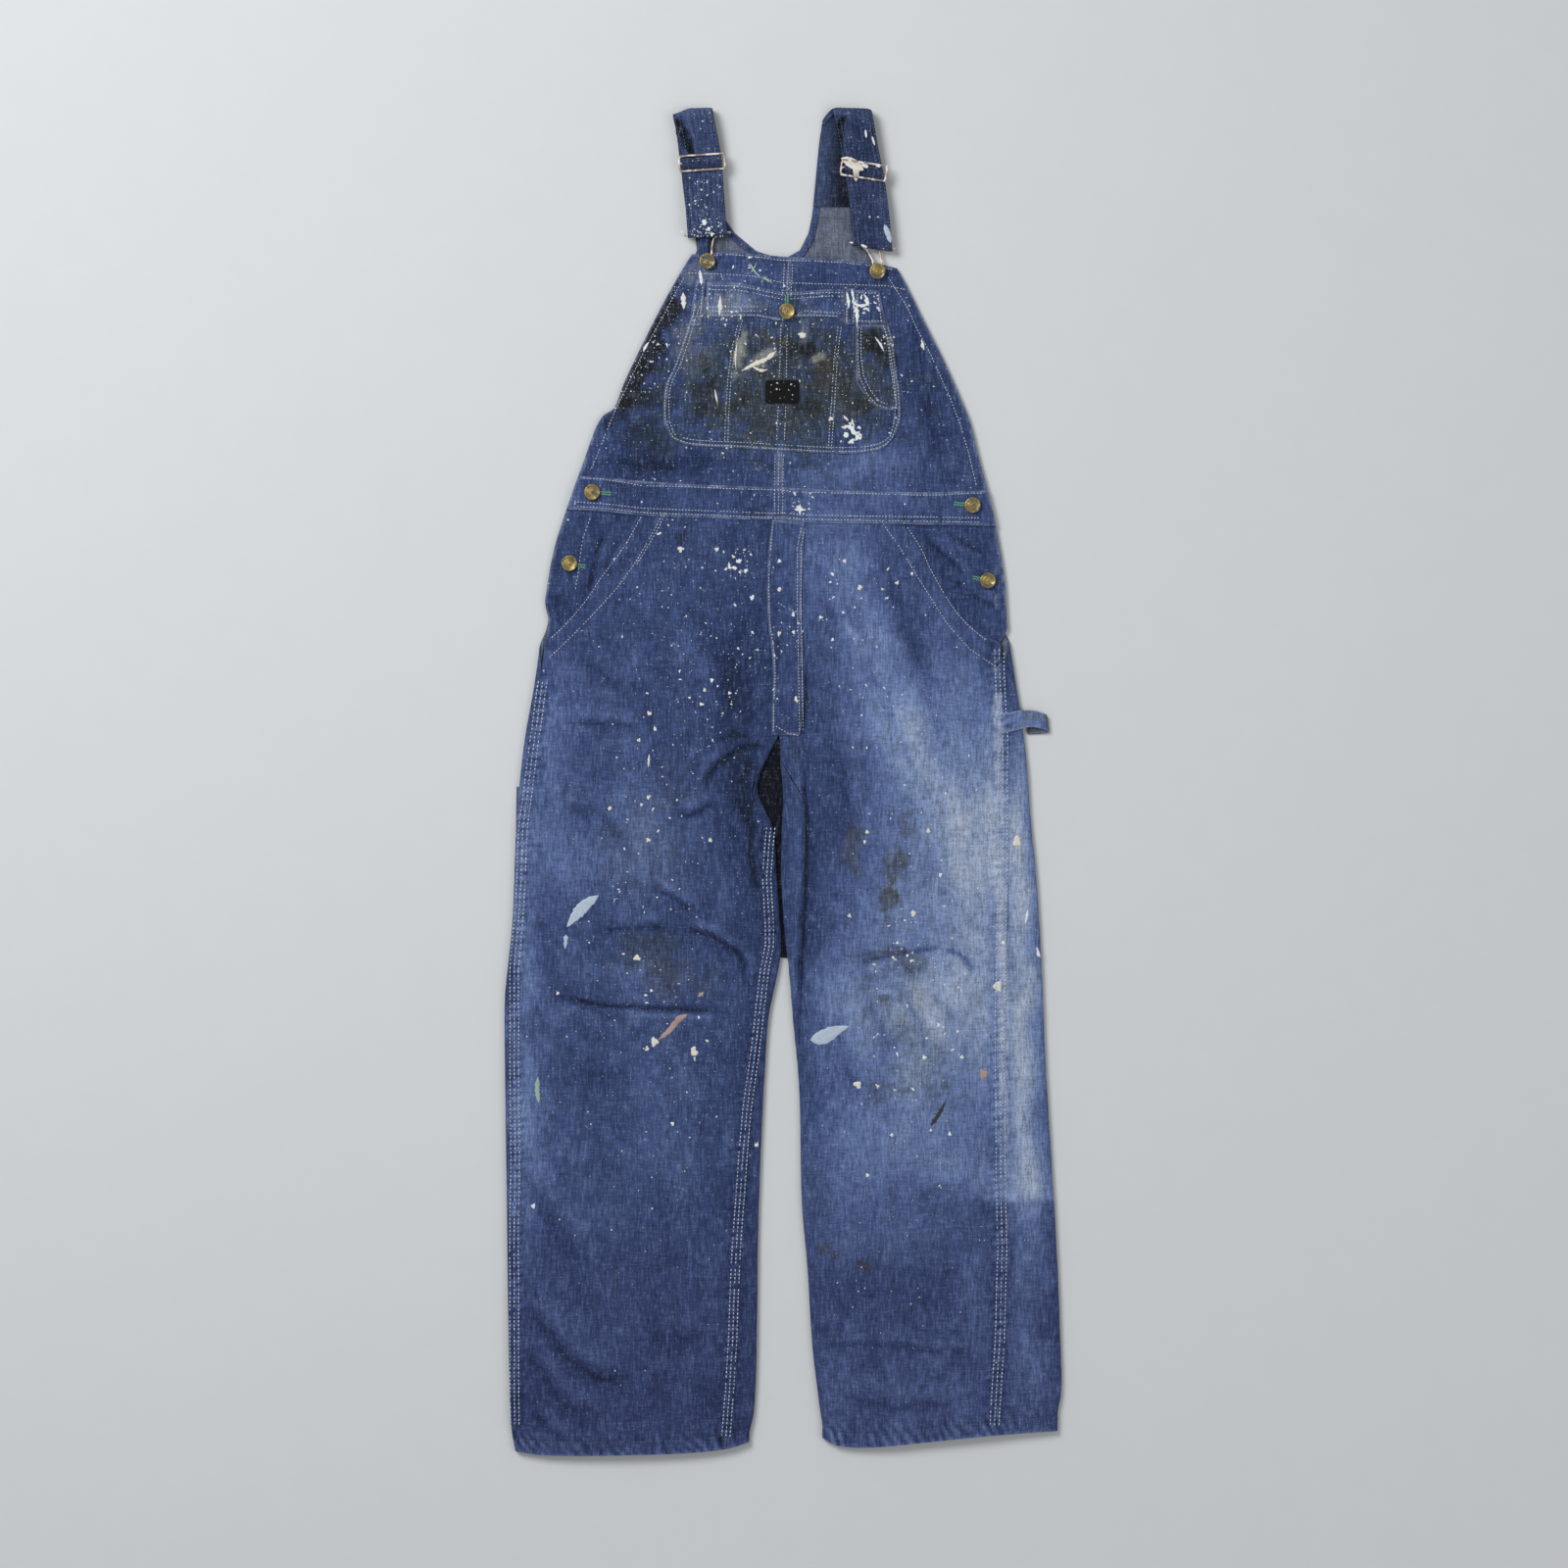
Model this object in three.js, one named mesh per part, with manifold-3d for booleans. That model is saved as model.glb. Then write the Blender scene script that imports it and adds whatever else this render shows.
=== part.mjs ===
// A pair of paint-spattered denim dungarees (bib overalls), laid flat on their back with the front up.
// Millimetres. +Z is up from the surface they lie on, +Y runs from the hems to the shoulders, and +X is
// the wearer's left. The origin is the bottom centre of the whole garment's box.
// "right" and "left" in names are the wearer's. Each cloth piece is a wall of denim, cut as a tailor cuts.
import * as THREE from "three";
import { mergeVertices } from "three/addons/utils/BufferGeometryUtils.js";
import Module from "manifold-3d";

const wasm = await Module();
wasm.setup();

// ---------------------------------------------------------------- driving dimensions
const CLOTH = 1.2; // one layer of denim
const GAP = 0.3; // clearance at a seam, and between layers that lie on each other
const LAYER = CLOTH + GAP; // what one more layer adds to the height
const FOLD = 3.8; // outer radius of the folded edge of a leg
const BEND = Math.PI * FOLD; // cloth used by one folded edge
const HEM = -715; // the hems' level, before their slant
const HEM_HEIGHT = 15;
const CROTCH = 44; // the legs' inner edges meet here
const SLASH_END = 150; // lower end of the hand pockets' mouths
const WAIST = 284; // the seam between trousers and bib, before its slant
const NECK = 560.5; // lowest point of the back's neckline
const STRAP_WIDTH = 42;
const STRAP_CLOTH = 2; // a strap is two layers sewn together
const BUTTON_RADIUS = 8.5;
const WIRE = 1.1; // radius of the buckles' wire
const SLIDE_HEIGHT = 14; // height of the slides' wire above the surface
const STEP = 1.5; // least distance between two columns of a panel

// ---------------------------------------------------------------- small mathematics
const half = GAP / 2;
const mix = (a, b, t) => a + (b - a) * t;
const clamp = (x, low, high) => Math.min(Math.max(x, low), high);
const smooth = (a, b, x) => {
  const t = clamp((x - a) / (b - a), 0, 1);
  return t * t * (3 - 2 * t);
};
const spread = (count) => Array.from({ length: count + 1 }, (_, i) => i / count);

// A smooth function through [input, output] points, sorted by input and held level past both ends.
function curve(points) {
  const last = points.length - 1;
  const slopes = points.map((_, i) => {
    const [a, b] = [points[Math.max(i - 1, 0)], points[Math.min(i + 1, last)]];
    return (b[1] - a[1]) / (b[0] - a[0]);
  });
  return (input) => {
    const x = clamp(input, points[0][0], points[last][0]);
    const i = Math.min(points.findLastIndex((p) => p[0] <= x), last - 1);
    const [[x0, y0], [x1, y1]] = [points[i], points[i + 1]];
    const wide = x1 - x0;
    const t = (x - x0) / wide;
    const s = 1 - t;
    return y0 * s * s * (1 + 2 * t) + y1 * t * t * (3 - 2 * t)
      + wide * t * s * (slopes[i] * s - slopes[i + 1] * t);
  };
}

// ---------------------------------------------------------------- outlines: x at each level y
const outerRight = curve([
  [-718, -286], [-690, -291], [-600, -294], [-450, -296], [-300, -298], [-230, -298], [-190, -294],
  [-150, -290], [-50, -286], [0, -282], [50, -276], [100, -267], [150, -260], [200, -254], [250, -245],
  [300, -229], [350, -211], [378, -201], [393, -192], [399, -182], [430, -169], [470, -150], [515, -127],
  [552, -106], [566, -97],
]);
const outerLeft = curve([
  [-694, 294], [-665, 298], [-600, 297], [-500, 293], [-400, 287], [-300, 281], [-200, 277], [-100, 271],
  [-40, 265], [20, 261], [75, 254], [120, 247], [170, 240], [215, 237], [262, 230], [300, 222], [345, 210],
  [385, 200], [415, 188], [455, 170], [495, 150], [530, 133], [550, 122],
]);
const innerRight = curve([
  [-706, -36], [-680, -31], [-600, -28], [-500, -27], [-400, -24], [-300, -19], [-250, -15], [-220, -9],
  [-195, -4], [-175, -2], [-140, -4], [-100, -7], [-60, -9], [-45, -12], [-28, -20], [-12, -27], [5, -26],
  [25, -17], [44, -8],
]);
const innerLeft = curve([
  [-702, 42], [-670, 38], [-600, 31], [-520, 26], [-450, 20], [-350, 18], [-310, 16], [-260, 11],
  [-200, 6], [-175, 3], [-140, 0], [-100, -2], [-60, -2], [-20, 0], [0, -1], [20, -3], [44, -3],
]);
// The hems, the waist and the bib's top slant a little: y at each x.
const hemRight = curve([[-288, -716], [-250, -720], [-150, -719], [-100, -717], [-60, -713], [-36, -706]]);
const hemLeft = curve([
  [42, -702], [60, -710], [100, -711], [150, -706], [220, -699], [260, -696], [298, -694],
]);
const waist = curve([
  [-235, 295], [-200, 293], [-150, 288], [-50, 284], [0, 283], [30, 280], [100, 279], [225, 277],
]);
const bandTop = curve([[-222, 328], [-174, 324], [-108, 319], [0, 315], [60, 312], [150, 310], [215, 312]]);
const bibTop = curve([[-97, 565], [-60, 567], [-30, 565], [0, 562], [50, 560], [100, 555], [122, 550]]);
const bibCentre = curve([[280, -4], [353, -3], [560, 7]]);

// Seams on the upper side. A reach is how far along the cloth an inseam lies past the top of the inner fold.
const reachRight = curve([
  [-700, 20], [-600, 18], [-500, 15], [-420, 10], [-350, 8], [-290, 5], [-160, 3], [-28, 3], [0, 0],
  [22, -4], [38, -BEND / 2],
]);
const reachLeft = curve([
  [-700, -25], [-500, -20], [-400, -15], [-320, -7], [-280, 0], [-250, 4], [-220, 8], [-180, 13],
  [-140, 20], [-60, 23], [-20, 18], [5, 6], [22, -2], [38, -BEND / 2],
]);
const outseamLeft = curve([
  [-700, 231], [-600, 235], [-500, 238], [-400, 236], [-250, 236], [-150, 240], [-50, 240], [100, 238],
  [150, 232],
]);
const centreFront = curve([[44, -5], [80, -3], [140, 0]]);
const centreBack = curve([[44, -5], [120, 0]]);
// Mouths of the hand pockets.
const slashRight = curve([[150, -255], [168, -236], [192, -215], [222, -195], [248, -175], [288, -152]]);
const slashLeft = curve([
  [142, 234], [151, 221], [168, 200], [193, 180], [228, 160], [250, 150], [283, 128],
]);
// Free sides of the back above the waist, and its neckline.
const backSideRight = curve([
  [284, -229], [350, -205], [400, -178], [470, -144], [520, -118], [555, -98], [575, -92], [602, -99],
]);
const backSideLeft = curve([
  [284, 220], [345, 204], [415, 182], [495, 144], [530, 121], [560, 93], [575, 88], [590, 84], [616, 74],
]);
const neckRight = curve([[560.5, 0], [563, -17], [570, -30], [582, -45], [592, -55], [602, -61]]);
const neckLeft = curve([[560.5, 0], [563, 11], [570, 18], [582, 25], [596, 29], [616, 32]]);

// ---------------------------------------------------------------- height of the front's upper face
const crest = curve([
  [-720, 12], [-600, 12.5], [-230, 13], [-100, 13.5], [60, 14.5], [200, 13], [290, 11.5], [450, 10.5],
  [565, 9],
]);
const rim = curve([[-720, 2 * FOLD], [150, 2 * FOLD], [300, 6.5], [450, 5.5], [565, 5]]);

function crown(x, y, left, right) {
  const across = clamp((2 * (x - left)) / (right - left) - 1, -1, 1);
  return mix(crest(y), rim(y), across * across);
}

// The largest folds are valleys pressed into the crown: the middle line's y at each x, its ends and depth.
const folds = [
  {
    line: curve([[-262, -230], [-212, -236], [-100, -243], [-45, -250]]),
    from: -262, to: -45, deep: 1.6, wide: 11,
  },
  { line: curve([[85, -190], [120, -186], [210, -200]]), from: 70, to: 215, deep: 1, wide: 12 },
  { line: curve([[-90, 0], [-66, 22], [-40, 36], [-10, 40]]), from: -100, to: -18, deep: 1.2, wide: 9 },
];
const foldDepth = (x, y) => folds.reduce((sum, { line, from, to, deep, wide }) =>
  sum + deep * smooth(from, from + 30, x) * (1 - smooth(to - 30, to, x))
    * Math.max(0, 1 - Math.abs(y - line(x)) / wide), 0);

// Height of the upper face of the front at a point: one crown on the body, one on each leg.
function top(x, y) {
  const body = crown(x, y, outerRight(y) + FOLD, outerLeft(y) - FOLD);
  const legs = smooth(98, CROTCH, y);
  if (legs === 0) return body;
  const fold = foldDepth(x, y);
  const leg = x < (innerRight(y) + innerLeft(y)) / 2
    ? crown(x, y, outerRight(y) + FOLD, innerRight(y) - FOLD)
    : crown(x, y, innerLeft(y) + FOLD, outerLeft(y) - FOLD);
  return mix(body, leg, legs) - fold;
}

// ---------------------------------------------------------------- walls of cloth
// Rows of points on the outer face, moved in by `inset` and thickened inwards. Rows run up and columns run
// across, left to right as seen from outside. A closed wall joins its last column to its first.
function wallOf(rows, thickness, { inset = 0, closed = false } = {}) {
  const [m, n] = [rows.length, rows[0].length];
  const column = (j) => (closed ? (j + n) % n : clamp(j, 0, n - 1));
  const at = (i, j) => rows[clamp(i, 0, m - 1)][column(j)];
  const positions = [];
  for (const depth of [inset, inset + thickness])
    for (let i = 0; i < m; i++)
      for (let j = 0; j < n; j++) {
        const across = at(i, j + 1).clone().sub(at(i, j - 1));
        const up = at(i + 1, j).clone().sub(at(i - 1, j));
        const inwards = up.cross(across).normalize().multiplyScalar(depth);
        positions.push(...at(i, j).clone().add(inwards).toArray());
      }
  const outer = (i, j) => i * n + column(j);
  const inner = (i, j) => m * n + outer(i, j);
  const faces = [];
  const quad = (a, b, c, d) => faces.push(a, b, c, a, c, d);
  const columns = closed ? n : n - 1;
  for (let j = 0; j < columns; j++) {
    for (let i = 0; i + 1 < m; i++) {
      quad(outer(i, j), outer(i, j + 1), outer(i + 1, j + 1), outer(i + 1, j));
      quad(inner(i, j), inner(i + 1, j), inner(i + 1, j + 1), inner(i, j + 1));
    }
    quad(outer(0, j), inner(0, j), inner(0, j + 1), outer(0, j + 1));
    quad(outer(m - 1, j), outer(m - 1, j + 1), inner(m - 1, j + 1), inner(m - 1, j));
  }
  for (let i = 0; !closed && i + 1 < m; i++) {
    quad(outer(i, 0), outer(i + 1, 0), inner(i + 1, 0), inner(i, 0));
    quad(outer(i, n - 1), inner(i, n - 1), inner(i + 1, n - 1), outer(i + 1, n - 1));
  }
  return new THREE.BufferGeometry()
    .setAttribute("position", new THREE.Float32BufferAttribute(positions, 3))
    .setIndex(faces);
}

// A flat-cut piece between a low and a high edge (y at each x) and a left and a right edge (x at each y),
// laid on the front with its upper face `raised` above the front's.
function laidPiece({ low, high, left, right, raised, rows = 6, columns = 6, levels = spread(rows) }) {
  const level = (x, t) => mix(low(x), high(x), t);
  const edge = (side, t) => {
    let x = 0;
    for (let i = 0; i < 12; i++) x = mix(x, side(level(x, t)), 0.8);
    return x;
  };
  return wallOf(
    levels.map((t) => {
      const [a, b] = [edge(left, t), edge(right, t)];
      return spread(columns).map((s) => {
        const x = mix(a, b, s);
        const y = level(x, t);
        return new THREE.Vector3(x, y, top(x, y) + raised);
      });
    }),
    CLOTH,
  );
}

// ---------------------------------------------------------------- legs and back: panels of a flattened tube
const LEVELS = [
  HEM, -690, -640, -560, -460, -380, -335, -290, -256, -240, -226, -196, -180, -150, -105, -60, -28, -12,
  5, 22, 38, 50, 62, 78, 98, 120, 150, 172, 200, 240, WAIST,
];
const rightLeg = { left: outerRight, right: innerRight, hem: hemRight };
const leftLeg = { left: innerLeft, right: outerLeft, hem: hemLeft };
const body = { left: outerRight, right: outerLeft, hem: hemRight };
const backOnly = { left: (y) => outerRight(y) - 40, right: (y) => outerLeft(y) + 40, hem: hemRight };
const tubeAt = (leg, y) => (y < CROTCH ? leg : y <= WAIST ? body : backOnly);
const RULE_POCKET = { left: -285.5, right: -224, low: -188, high: -5 }; // under the right thigh

// A level follows the hem's slant near the hem, and the waist's near the waist.
function slanted(tube, x, y) {
  const nearHem = 1 - smooth(0, 130, y - HEM);
  const nearWaist = 1 - smooth(0, 130, Math.abs(WAIST - y));
  return y + (tube.hem(x) - HEM) * nearHem + (waist(x) - WAIST) * nearWaist;
}

// The rule pocket lies under the back and lifts it by a layer.
function underLift(x, y) {
  const { right, low, high } = RULE_POCKET;
  return LAYER * (1 - smooth(right + 6, right + 50, x))
    * smooth(low - 50, low - 6, y) * (1 - smooth(high + 6, high + 50, y));
}

// The outer face of a flattened tube at a distance `along` the cloth: 0 is the top of its left fold, and
// the distance grows to the right over the upper side, round the right fold and back along the bottom.
function onTube(tube, y, along) {
  const [a, b] = [tube.left(y) + FOLD, tube.right(y) - FOLD];
  const wide = b - a;
  const girth = 2 * wide + 2 * BEND;
  const u = ((along % girth) + girth) % girth;
  let x = a + u;
  let z = 0;
  if (u <= wide) z = top(x, slanted(tube, x, y));
  else if (u < wide + BEND) {
    const turn = (u - wide) / FOLD;
    x = b + FOLD * Math.sin(turn);
    z = FOLD + FOLD * Math.cos(turn);
  } else if (u <= 2 * wide + BEND) x = b - (u - wide - BEND);
  else {
    const turn = Math.PI + (u - 2 * wide - BEND) / FOLD;
    x = a + FOLD * Math.sin(turn);
    z = FOLD + FOLD * Math.cos(turn);
  }
  if (z < FOLD) z += underLift(x, y) * (1 - z / FOLD);
  return new THREE.Vector3(x, slanted(tube, x, y), z);
}

// Columns from one edge to the other: the wanted ones, kept between the edges and pushed apart.
function placed(from, to, wanted) {
  const stops = [from, ...wanted, to];
  for (let i = 1; i < stops.length; i++) stops[i] = Math.max(stops[i], stops[i - 1] + STEP);
  stops[stops.length - 1] = to;
  for (let i = stops.length - 2; i > 0; i--) stops[i] = Math.min(stops[i], stops[i + 1] - STEP);
  return stops;
}

const measures = (tube, y) => {
  const wide = tube.right(y) - tube.left(y) - 2 * FOLD;
  return { wide, girth: 2 * wide + 2 * BEND, reach: (x) => x - tube.left(y) - FOLD };
};
// Inseams stand wider apart where they run across a folded edge.
const inseamGap = (y) =>
  half + 0.7 * smooth(-30, 0, y) * (1 - smooth(40, 60, y))
  + 0.35 * smooth(-400, -380, y) * (1 - smooth(-290, -260, y));
const bend = (start) => spread(4).map((t) => start + t * BEND);
const evenly = (from, to, count) => spread(count).slice(1, -1).map((t) => mix(from, to, t));

function frontRight() {
  return wallOf(
    LEVELS.map((y) => {
      const tube = tubeAt(rightLeg, y);
      const { wide, reach } = measures(tube, y);
      const from = (y <= SLASH_END ? 1.5 : reach(slashRight(y))) + half;
      const to = (y < CROTCH ? wide - reachRight(y) : reach(centreFront(y))) - inseamGap(y);
      const turn = y < CROTCH ? wide : to;
      return placed(from, to, [...evenly(from, turn, 7), turn, turn + BEND / 4])
        .map((along) => onTube(tube, y, along).setY(onTube(tube, y, along).y - (y === WAIST ? GAP : 0)));
    }),
    CLOTH,
  );
}

function frontLeft() {
  return wallOf(
    LEVELS.map((y) => {
      const tube = tubeAt(leftLeg, y);
      const { reach } = measures(tube, y);
      const from = (y < CROTCH ? reachLeft(y) : reach(centreFront(y))) + inseamGap(y);
      const to = reach(y <= SLASH_END ? outseamLeft(y) : slashLeft(y)) - half;
      const start = Math.max(from, y < CROTCH ? 0 : from);
      return placed(from, to, [...bend(-BEND), ...evenly(start, to, 7)])
        .map((along) => onTube(tube, y, along).setY(onTube(tube, y, along).y - (y === WAIST ? GAP : 0)));
    }),
    CLOTH,
  );
}

// The back goes on past the waist to the neckline and the straps.
const backLevels = (shoulder) => [
  ...LEVELS, 330, 385, 450, 510, ...[0, 0.06, 0.22, 0.5, 0.75, 1].map((t) => mix(NECK, shoulder, t)),
];
const opened = (y) => smooth(118, 172, y); // above the thigh the outer folds open into the side openings

function backRight() {
  return wallOf(
    backLevels(602).map((y) => {
      const tube = tubeAt(rightLeg, y);
      const { wide, girth, reach } = measures(tube, y);
      const under = (x) => -BEND - reach(x); // the distance of a point of the underside
      const centre = y > NECK ? neckRight(y) : centreBack(y);
      const from = (y < CROTCH ? wide - reachRight(y) - girth : under(centre)) + inseamGap(y);
      const side = y <= WAIST ? mix(1.5, -BEND - 2, opened(y)) : under(backSideRight(y));
      const to = side - half;
      const turn = y < CROTCH ? wide - girth : from;
      const flat = Math.max(turn + BEND, from);
      return placed(from, to, [...bend(turn), ...evenly(flat, Math.min(to, -BEND), 4), ...bend(-BEND)])
        .map((along) => onTube(tube, y, along));
    }),
    CLOTH,
  );
}

function backLeft() {
  return wallOf(
    backLevels(616).map((y) => {
      const tube = tubeAt(leftLeg, y);
      const { wide, girth, reach } = measures(tube, y);
      const under = (x) => girth - BEND - reach(x);
      const centre = y > NECK ? neckLeft(y) : centreBack(y);
      const side = y <= WAIST
        ? mix(reach(outseamLeft(y)), wide + BEND + 2, opened(y))
        : under(backSideLeft(y));
      const from = side + half;
      const to = (y < CROTCH ? reachLeft(y) + girth : under(centre)) - inseamGap(y);
      const turn = y < CROTCH ? girth - BEND : to;
      const flat = Math.max(from, wide + BEND);
      return placed(from, to, [...bend(wide), ...evenly(flat, Math.min(to, turn), 4), ...bend(turn)])
        .map((along) => onTube(tube, y, along));
    }),
    CLOTH,
  );
}

// A hem is turned up inside the leg: a ring of cloth a layer inside the panels, made from their lowest
// rows.
function hem(leg) {
  const ring = (y) => {
    const { wide, girth } = measures(leg, y);
    const bottom = evenly(wide + BEND, girth - BEND, 5);
    const stops = [...evenly(0, wide, 8), ...bend(wide), ...bottom, ...bend(girth - BEND)];
    return stops.map((along) => onTube(leg, y, along));
  };
  const [low, high] = [ring(LEVELS[0]), ring(LEVELS[1])];
  const rows = [1, HEM_HEIGHT / 2, HEM_HEIGHT].map((height) =>
    low.map((p, j) => p.clone().lerp(high[j], height / (LEVELS[1] - LEVELS[0]))));
  return wallOf(rows, CLOTH, { inset: LAYER, closed: true });
}

// ---------------------------------------------------------------- ribbons: straps and hammer loop
// A band of cloth along a path of its middle line; `across` gives the half-width vector at each point.
function ribbon(path, across, thickness) {
  return wallOf(
    path.map((p, i) => {
      const side = across(i);
      return [1, 0, -1].map((s) => new THREE.Vector3(...p).addScaledVector(side, s));
    }),
    thickness,
    { inset: -thickness / 2 },
  );
}

// An arc of points round [y, z], from one angle to another in half turns.
const arc = (y, z, radius, from, to, count) => spread(count).map((t) => {
  const angle = Math.PI * mix(from, to, t);
  return [y + radius * Math.cos(angle), z + radius * Math.sin(angle)];
});

// A strap comes off the back, folds over the shoulder, runs down under, over and under the slide's wires,
// turns round the bar of the hook and ends under the slide.
function strap({ shoulder, fold, slide, end, tilt, behind, before }) {
  const [low, high, under] = [STRAP_CLOTH / 2, SLIDE_HEIGHT, SLIDE_HEIGHT - 6];
  const weave = [
    [14, -2.4], [8.5, -2.8], [6, -2.2], [3, 1.2], [0, 2.8], [-3, 1.2], [-6, -2.2], [-8.5, -2.8],
    [-14, -2.4],
  ]; // how far the strap's middle is above the wire, before and behind the slide's bar
  const back = [...evenly(shoulder, fold, 3).map((y) => [y, low])];
  const run = [
    ...arc(fold, (low + high) / 2, (high - low) / 2, -0.5, 0.5, 6),
    [slide + 30, high - 0.5],
    ...weave.map(([dy, dz]) => [slide + dy, high + dz]),
    [mix(slide, end, 0.5), high - 1.2],
    ...arc(end + 3.5, high - 3.5, 2.5, 0.5, 1.5, 6),
    [mix(slide, end, 0.5), under],
    [slide + 2, under],
  ];
  const path = [[shoulder + GAP, low], ...back, ...run];
  const points = path.map(([y, z], i) => {
    const front = i > back.length ? smooth(low, high - 1, i > back.length + 6 ? high : z) : 0;
    return [mix(behind(y), before(y), front), y, z];
  });
  const slope = (i) => tilt * smooth(back.length + 3, back.length + 8, i);
  const across = (i) => new THREE.Vector3(1, slope(i), 0).multiplyScalar(STRAP_WIDTH / 2);
  return ribbon(points, across, STRAP_CLOTH);
}

// The hammer loop: from the outseam over the folded edge, out past it, and back underneath.
function hammerLoop() {
  const flat = (x, y) => [x, y, top(Math.min(x, 250), y) + LAYER - CLOTH / 2];
  const path = [
    flat(229, 63), flat(241, 64), flat(250, 66), [262, 68, 8.8], [272, 67, 7.6], [279, 65, 6.6],
    [282.5, 63.5, 5.2], [283.5, 62.5, 3.6], [282.5, 62, 2], [280, 61.5, 0.9], [273, 60.5, CLOTH / 2],
    [261, 60, CLOTH / 2],
  ];
  const sides = [[0, 10.5], [0, 10.5], [0, 10], [1, 9]];
  return ribbon(path.reverse(), (i) => {
    const [x, y] = sides[Math.min(path.length - 1 - i, 3)];
    return new THREE.Vector3(x, -y, 0);
  }, CLOTH);
}

// The neckline's facing: a narrow strip on the inside of the back, round the neck.
function neckFacing() {
  const width = 7;
  const edge = [
    ...[602, 592, 582, 570, 563].map((y) => [neckRight(y), y]),
    [0, NECK],
    ...[563, 570, 582, 596, 616].map((y) => [neckLeft(y), y]),
  ];
  const rows = [width, 0.8].map((distance) => edge.map(([x, y], i) => {
    const [before, after] = [edge[Math.max(i - 1, 0)], edge[Math.min(i + 1, edge.length - 1)]];
    const away = new THREE.Vector3(after[1] - before[1], before[0] - after[0], 0).setLength(distance);
    return new THREE.Vector3(x, y, LAYER + CLOTH).add(away);
  }));
  return wallOf(rows, CLOTH);
}

// ---------------------------------------------------------------- plates, wires and buttons
// Joins equal points and drops empty triangles.
function welded(geometry) {
  const bare = new THREE.BufferGeometry().setAttribute("position", geometry.getAttribute("position"));
  if (geometry.index) bare.setIndex(geometry.index);
  const joined = mergeVertices(bare, 1e-4);
  const kept = [];
  const index = joined.index.array;
  for (let i = 0; i < index.length; i += 3) {
    const [a, b, c] = index.slice(i, i + 3);
    if (a !== b && b !== c && c !== a) kept.push(a, b, c);
  }
  return joined.setIndex(kept);
}

function solidOf(geometry) {
  const { index, attributes } = welded(geometry);
  return new wasm.Manifold(new wasm.Mesh({
    numProp: 3,
    vertProperties: new Float32Array(attributes.position.array),
    triVerts: new Uint32Array(index.array),
  }));
}

function united(geometries) {
  const mesh = wasm.Manifold.union(geometries.map(solidOf)).getMesh();
  return new THREE.BufferGeometry()
    .setAttribute("position", new THREE.Float32BufferAttribute(mesh.vertProperties, 3))
    .setIndex([...mesh.triVerts]);
}

function plate(outline, low, thickness) {
  const shape = new THREE.Shape(outline.map(([x, y]) => new THREE.Vector2(x, y)));
  const slab = new THREE.ExtrudeGeometry(shape, { depth: thickness, bevelEnabled: false });
  return welded(slab.translate(0, 0, low));
}

function roundedRectangle(width, height, radius) {
  const corners = [[1, -1, -0.5], [1, 1, 0], [-1, 1, 0.5], [-1, -1, 1]];
  return corners.flatMap(([sx, sy, start]) => spread(3).map((t) => {
    const angle = Math.PI * (start + t / 2);
    const [cx, cy] = [sx * (width / 2 - radius), sy * (height / 2 - radius)];
    return [cx + radius * Math.cos(angle), cy + radius * Math.sin(angle)];
  }));
}

function labelPatch() {
  const middle = { x: -1, y: 417 };
  const outline = roundedRectangle(36, 25, 3).map(([x, y]) => [middle.x + x, middle.y + y]);
  return plate(outline, top(middle.x, middle.y) + 2 * LAYER - CLOTH + 0.1, CLOTH);
}

function rulePocket() {
  const { left, right, low, high } = RULE_POCKET;
  const slant = 6;
  const outline = [
    [left - slant / 2, low], [right - slant / 2, low + 2], [right, high - 2], [left, high],
    [left, high - 20],
  ];
  return plate(outline, 0, CLOTH);
}

// A closed loop of round wire through the points.
function wireLoop(points) {
  const stops = points.map((p) => new THREE.Vector3(...p));
  const path = new THREE.CatmullRomCurve3(stops, true, "catmullrom", 0.5);
  return welded(new THREE.TubeGeometry(path, points.length * 2, WIRE, 6, true));
}

// The slide: a wire rectangle with a bar across its middle.
function slideBuckle({ x, y, tilt }) {
  const frame = wireLoop(roundedRectangle(STRAP_WIDTH + 6.5, 16, 3.5).map(([px, py]) => [px, py, 0]));
  const bar = new THREE.CylinderGeometry(WIRE, WIRE, STRAP_WIDTH + 6.5, 6).rotateZ(Math.PI / 2);
  return united([frame, bar]).rotateZ(Math.atan(tilt)).translate(x, y, SLIDE_HEIGHT);
}

// The hook: a bar in the strap's end, two sides drawn together, and a ring round the bib button's neck.
function hookLoop({ x, y, tilt, button, ringHeight }) {
  const [bx, by] = button;
  const reach = STRAP_WIDTH / 2 + 3;
  const bar = SLIDE_HEIGHT - 3.5;
  const behind = SLIDE_HEIGHT - 9; // the sides pass behind the strap's end
  const neck = 4.6;
  const along = (dx, z) => [x + dx, y + tilt * dx, z];
  const sideOf = (s) => [
    along(s * reach * 0.5, bar), along(s * (reach - 2.4), bar), along(s * reach, bar - 2.2),
    along(s * (reach - 1), behind + 0.6), along(s * (reach - 6), behind),
    [mix(x, bx, 0.2) + s * 8, y - 3, behind],
    [mix(x, bx, 0.7) + s * 5, mix(y, by, 0.45), behind + 1.2], [bx + s * neck, by + 9, ringHeight - 0.2],
    [bx + s * neck, by + 3, ringHeight], [bx + s * neck * 0.8, by - 2.8, ringHeight],
  ];
  return wireLoop([...sideOf(1), [bx, by - neck, ringHeight], ...sideOf(-1).reverse()]);
}

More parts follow.
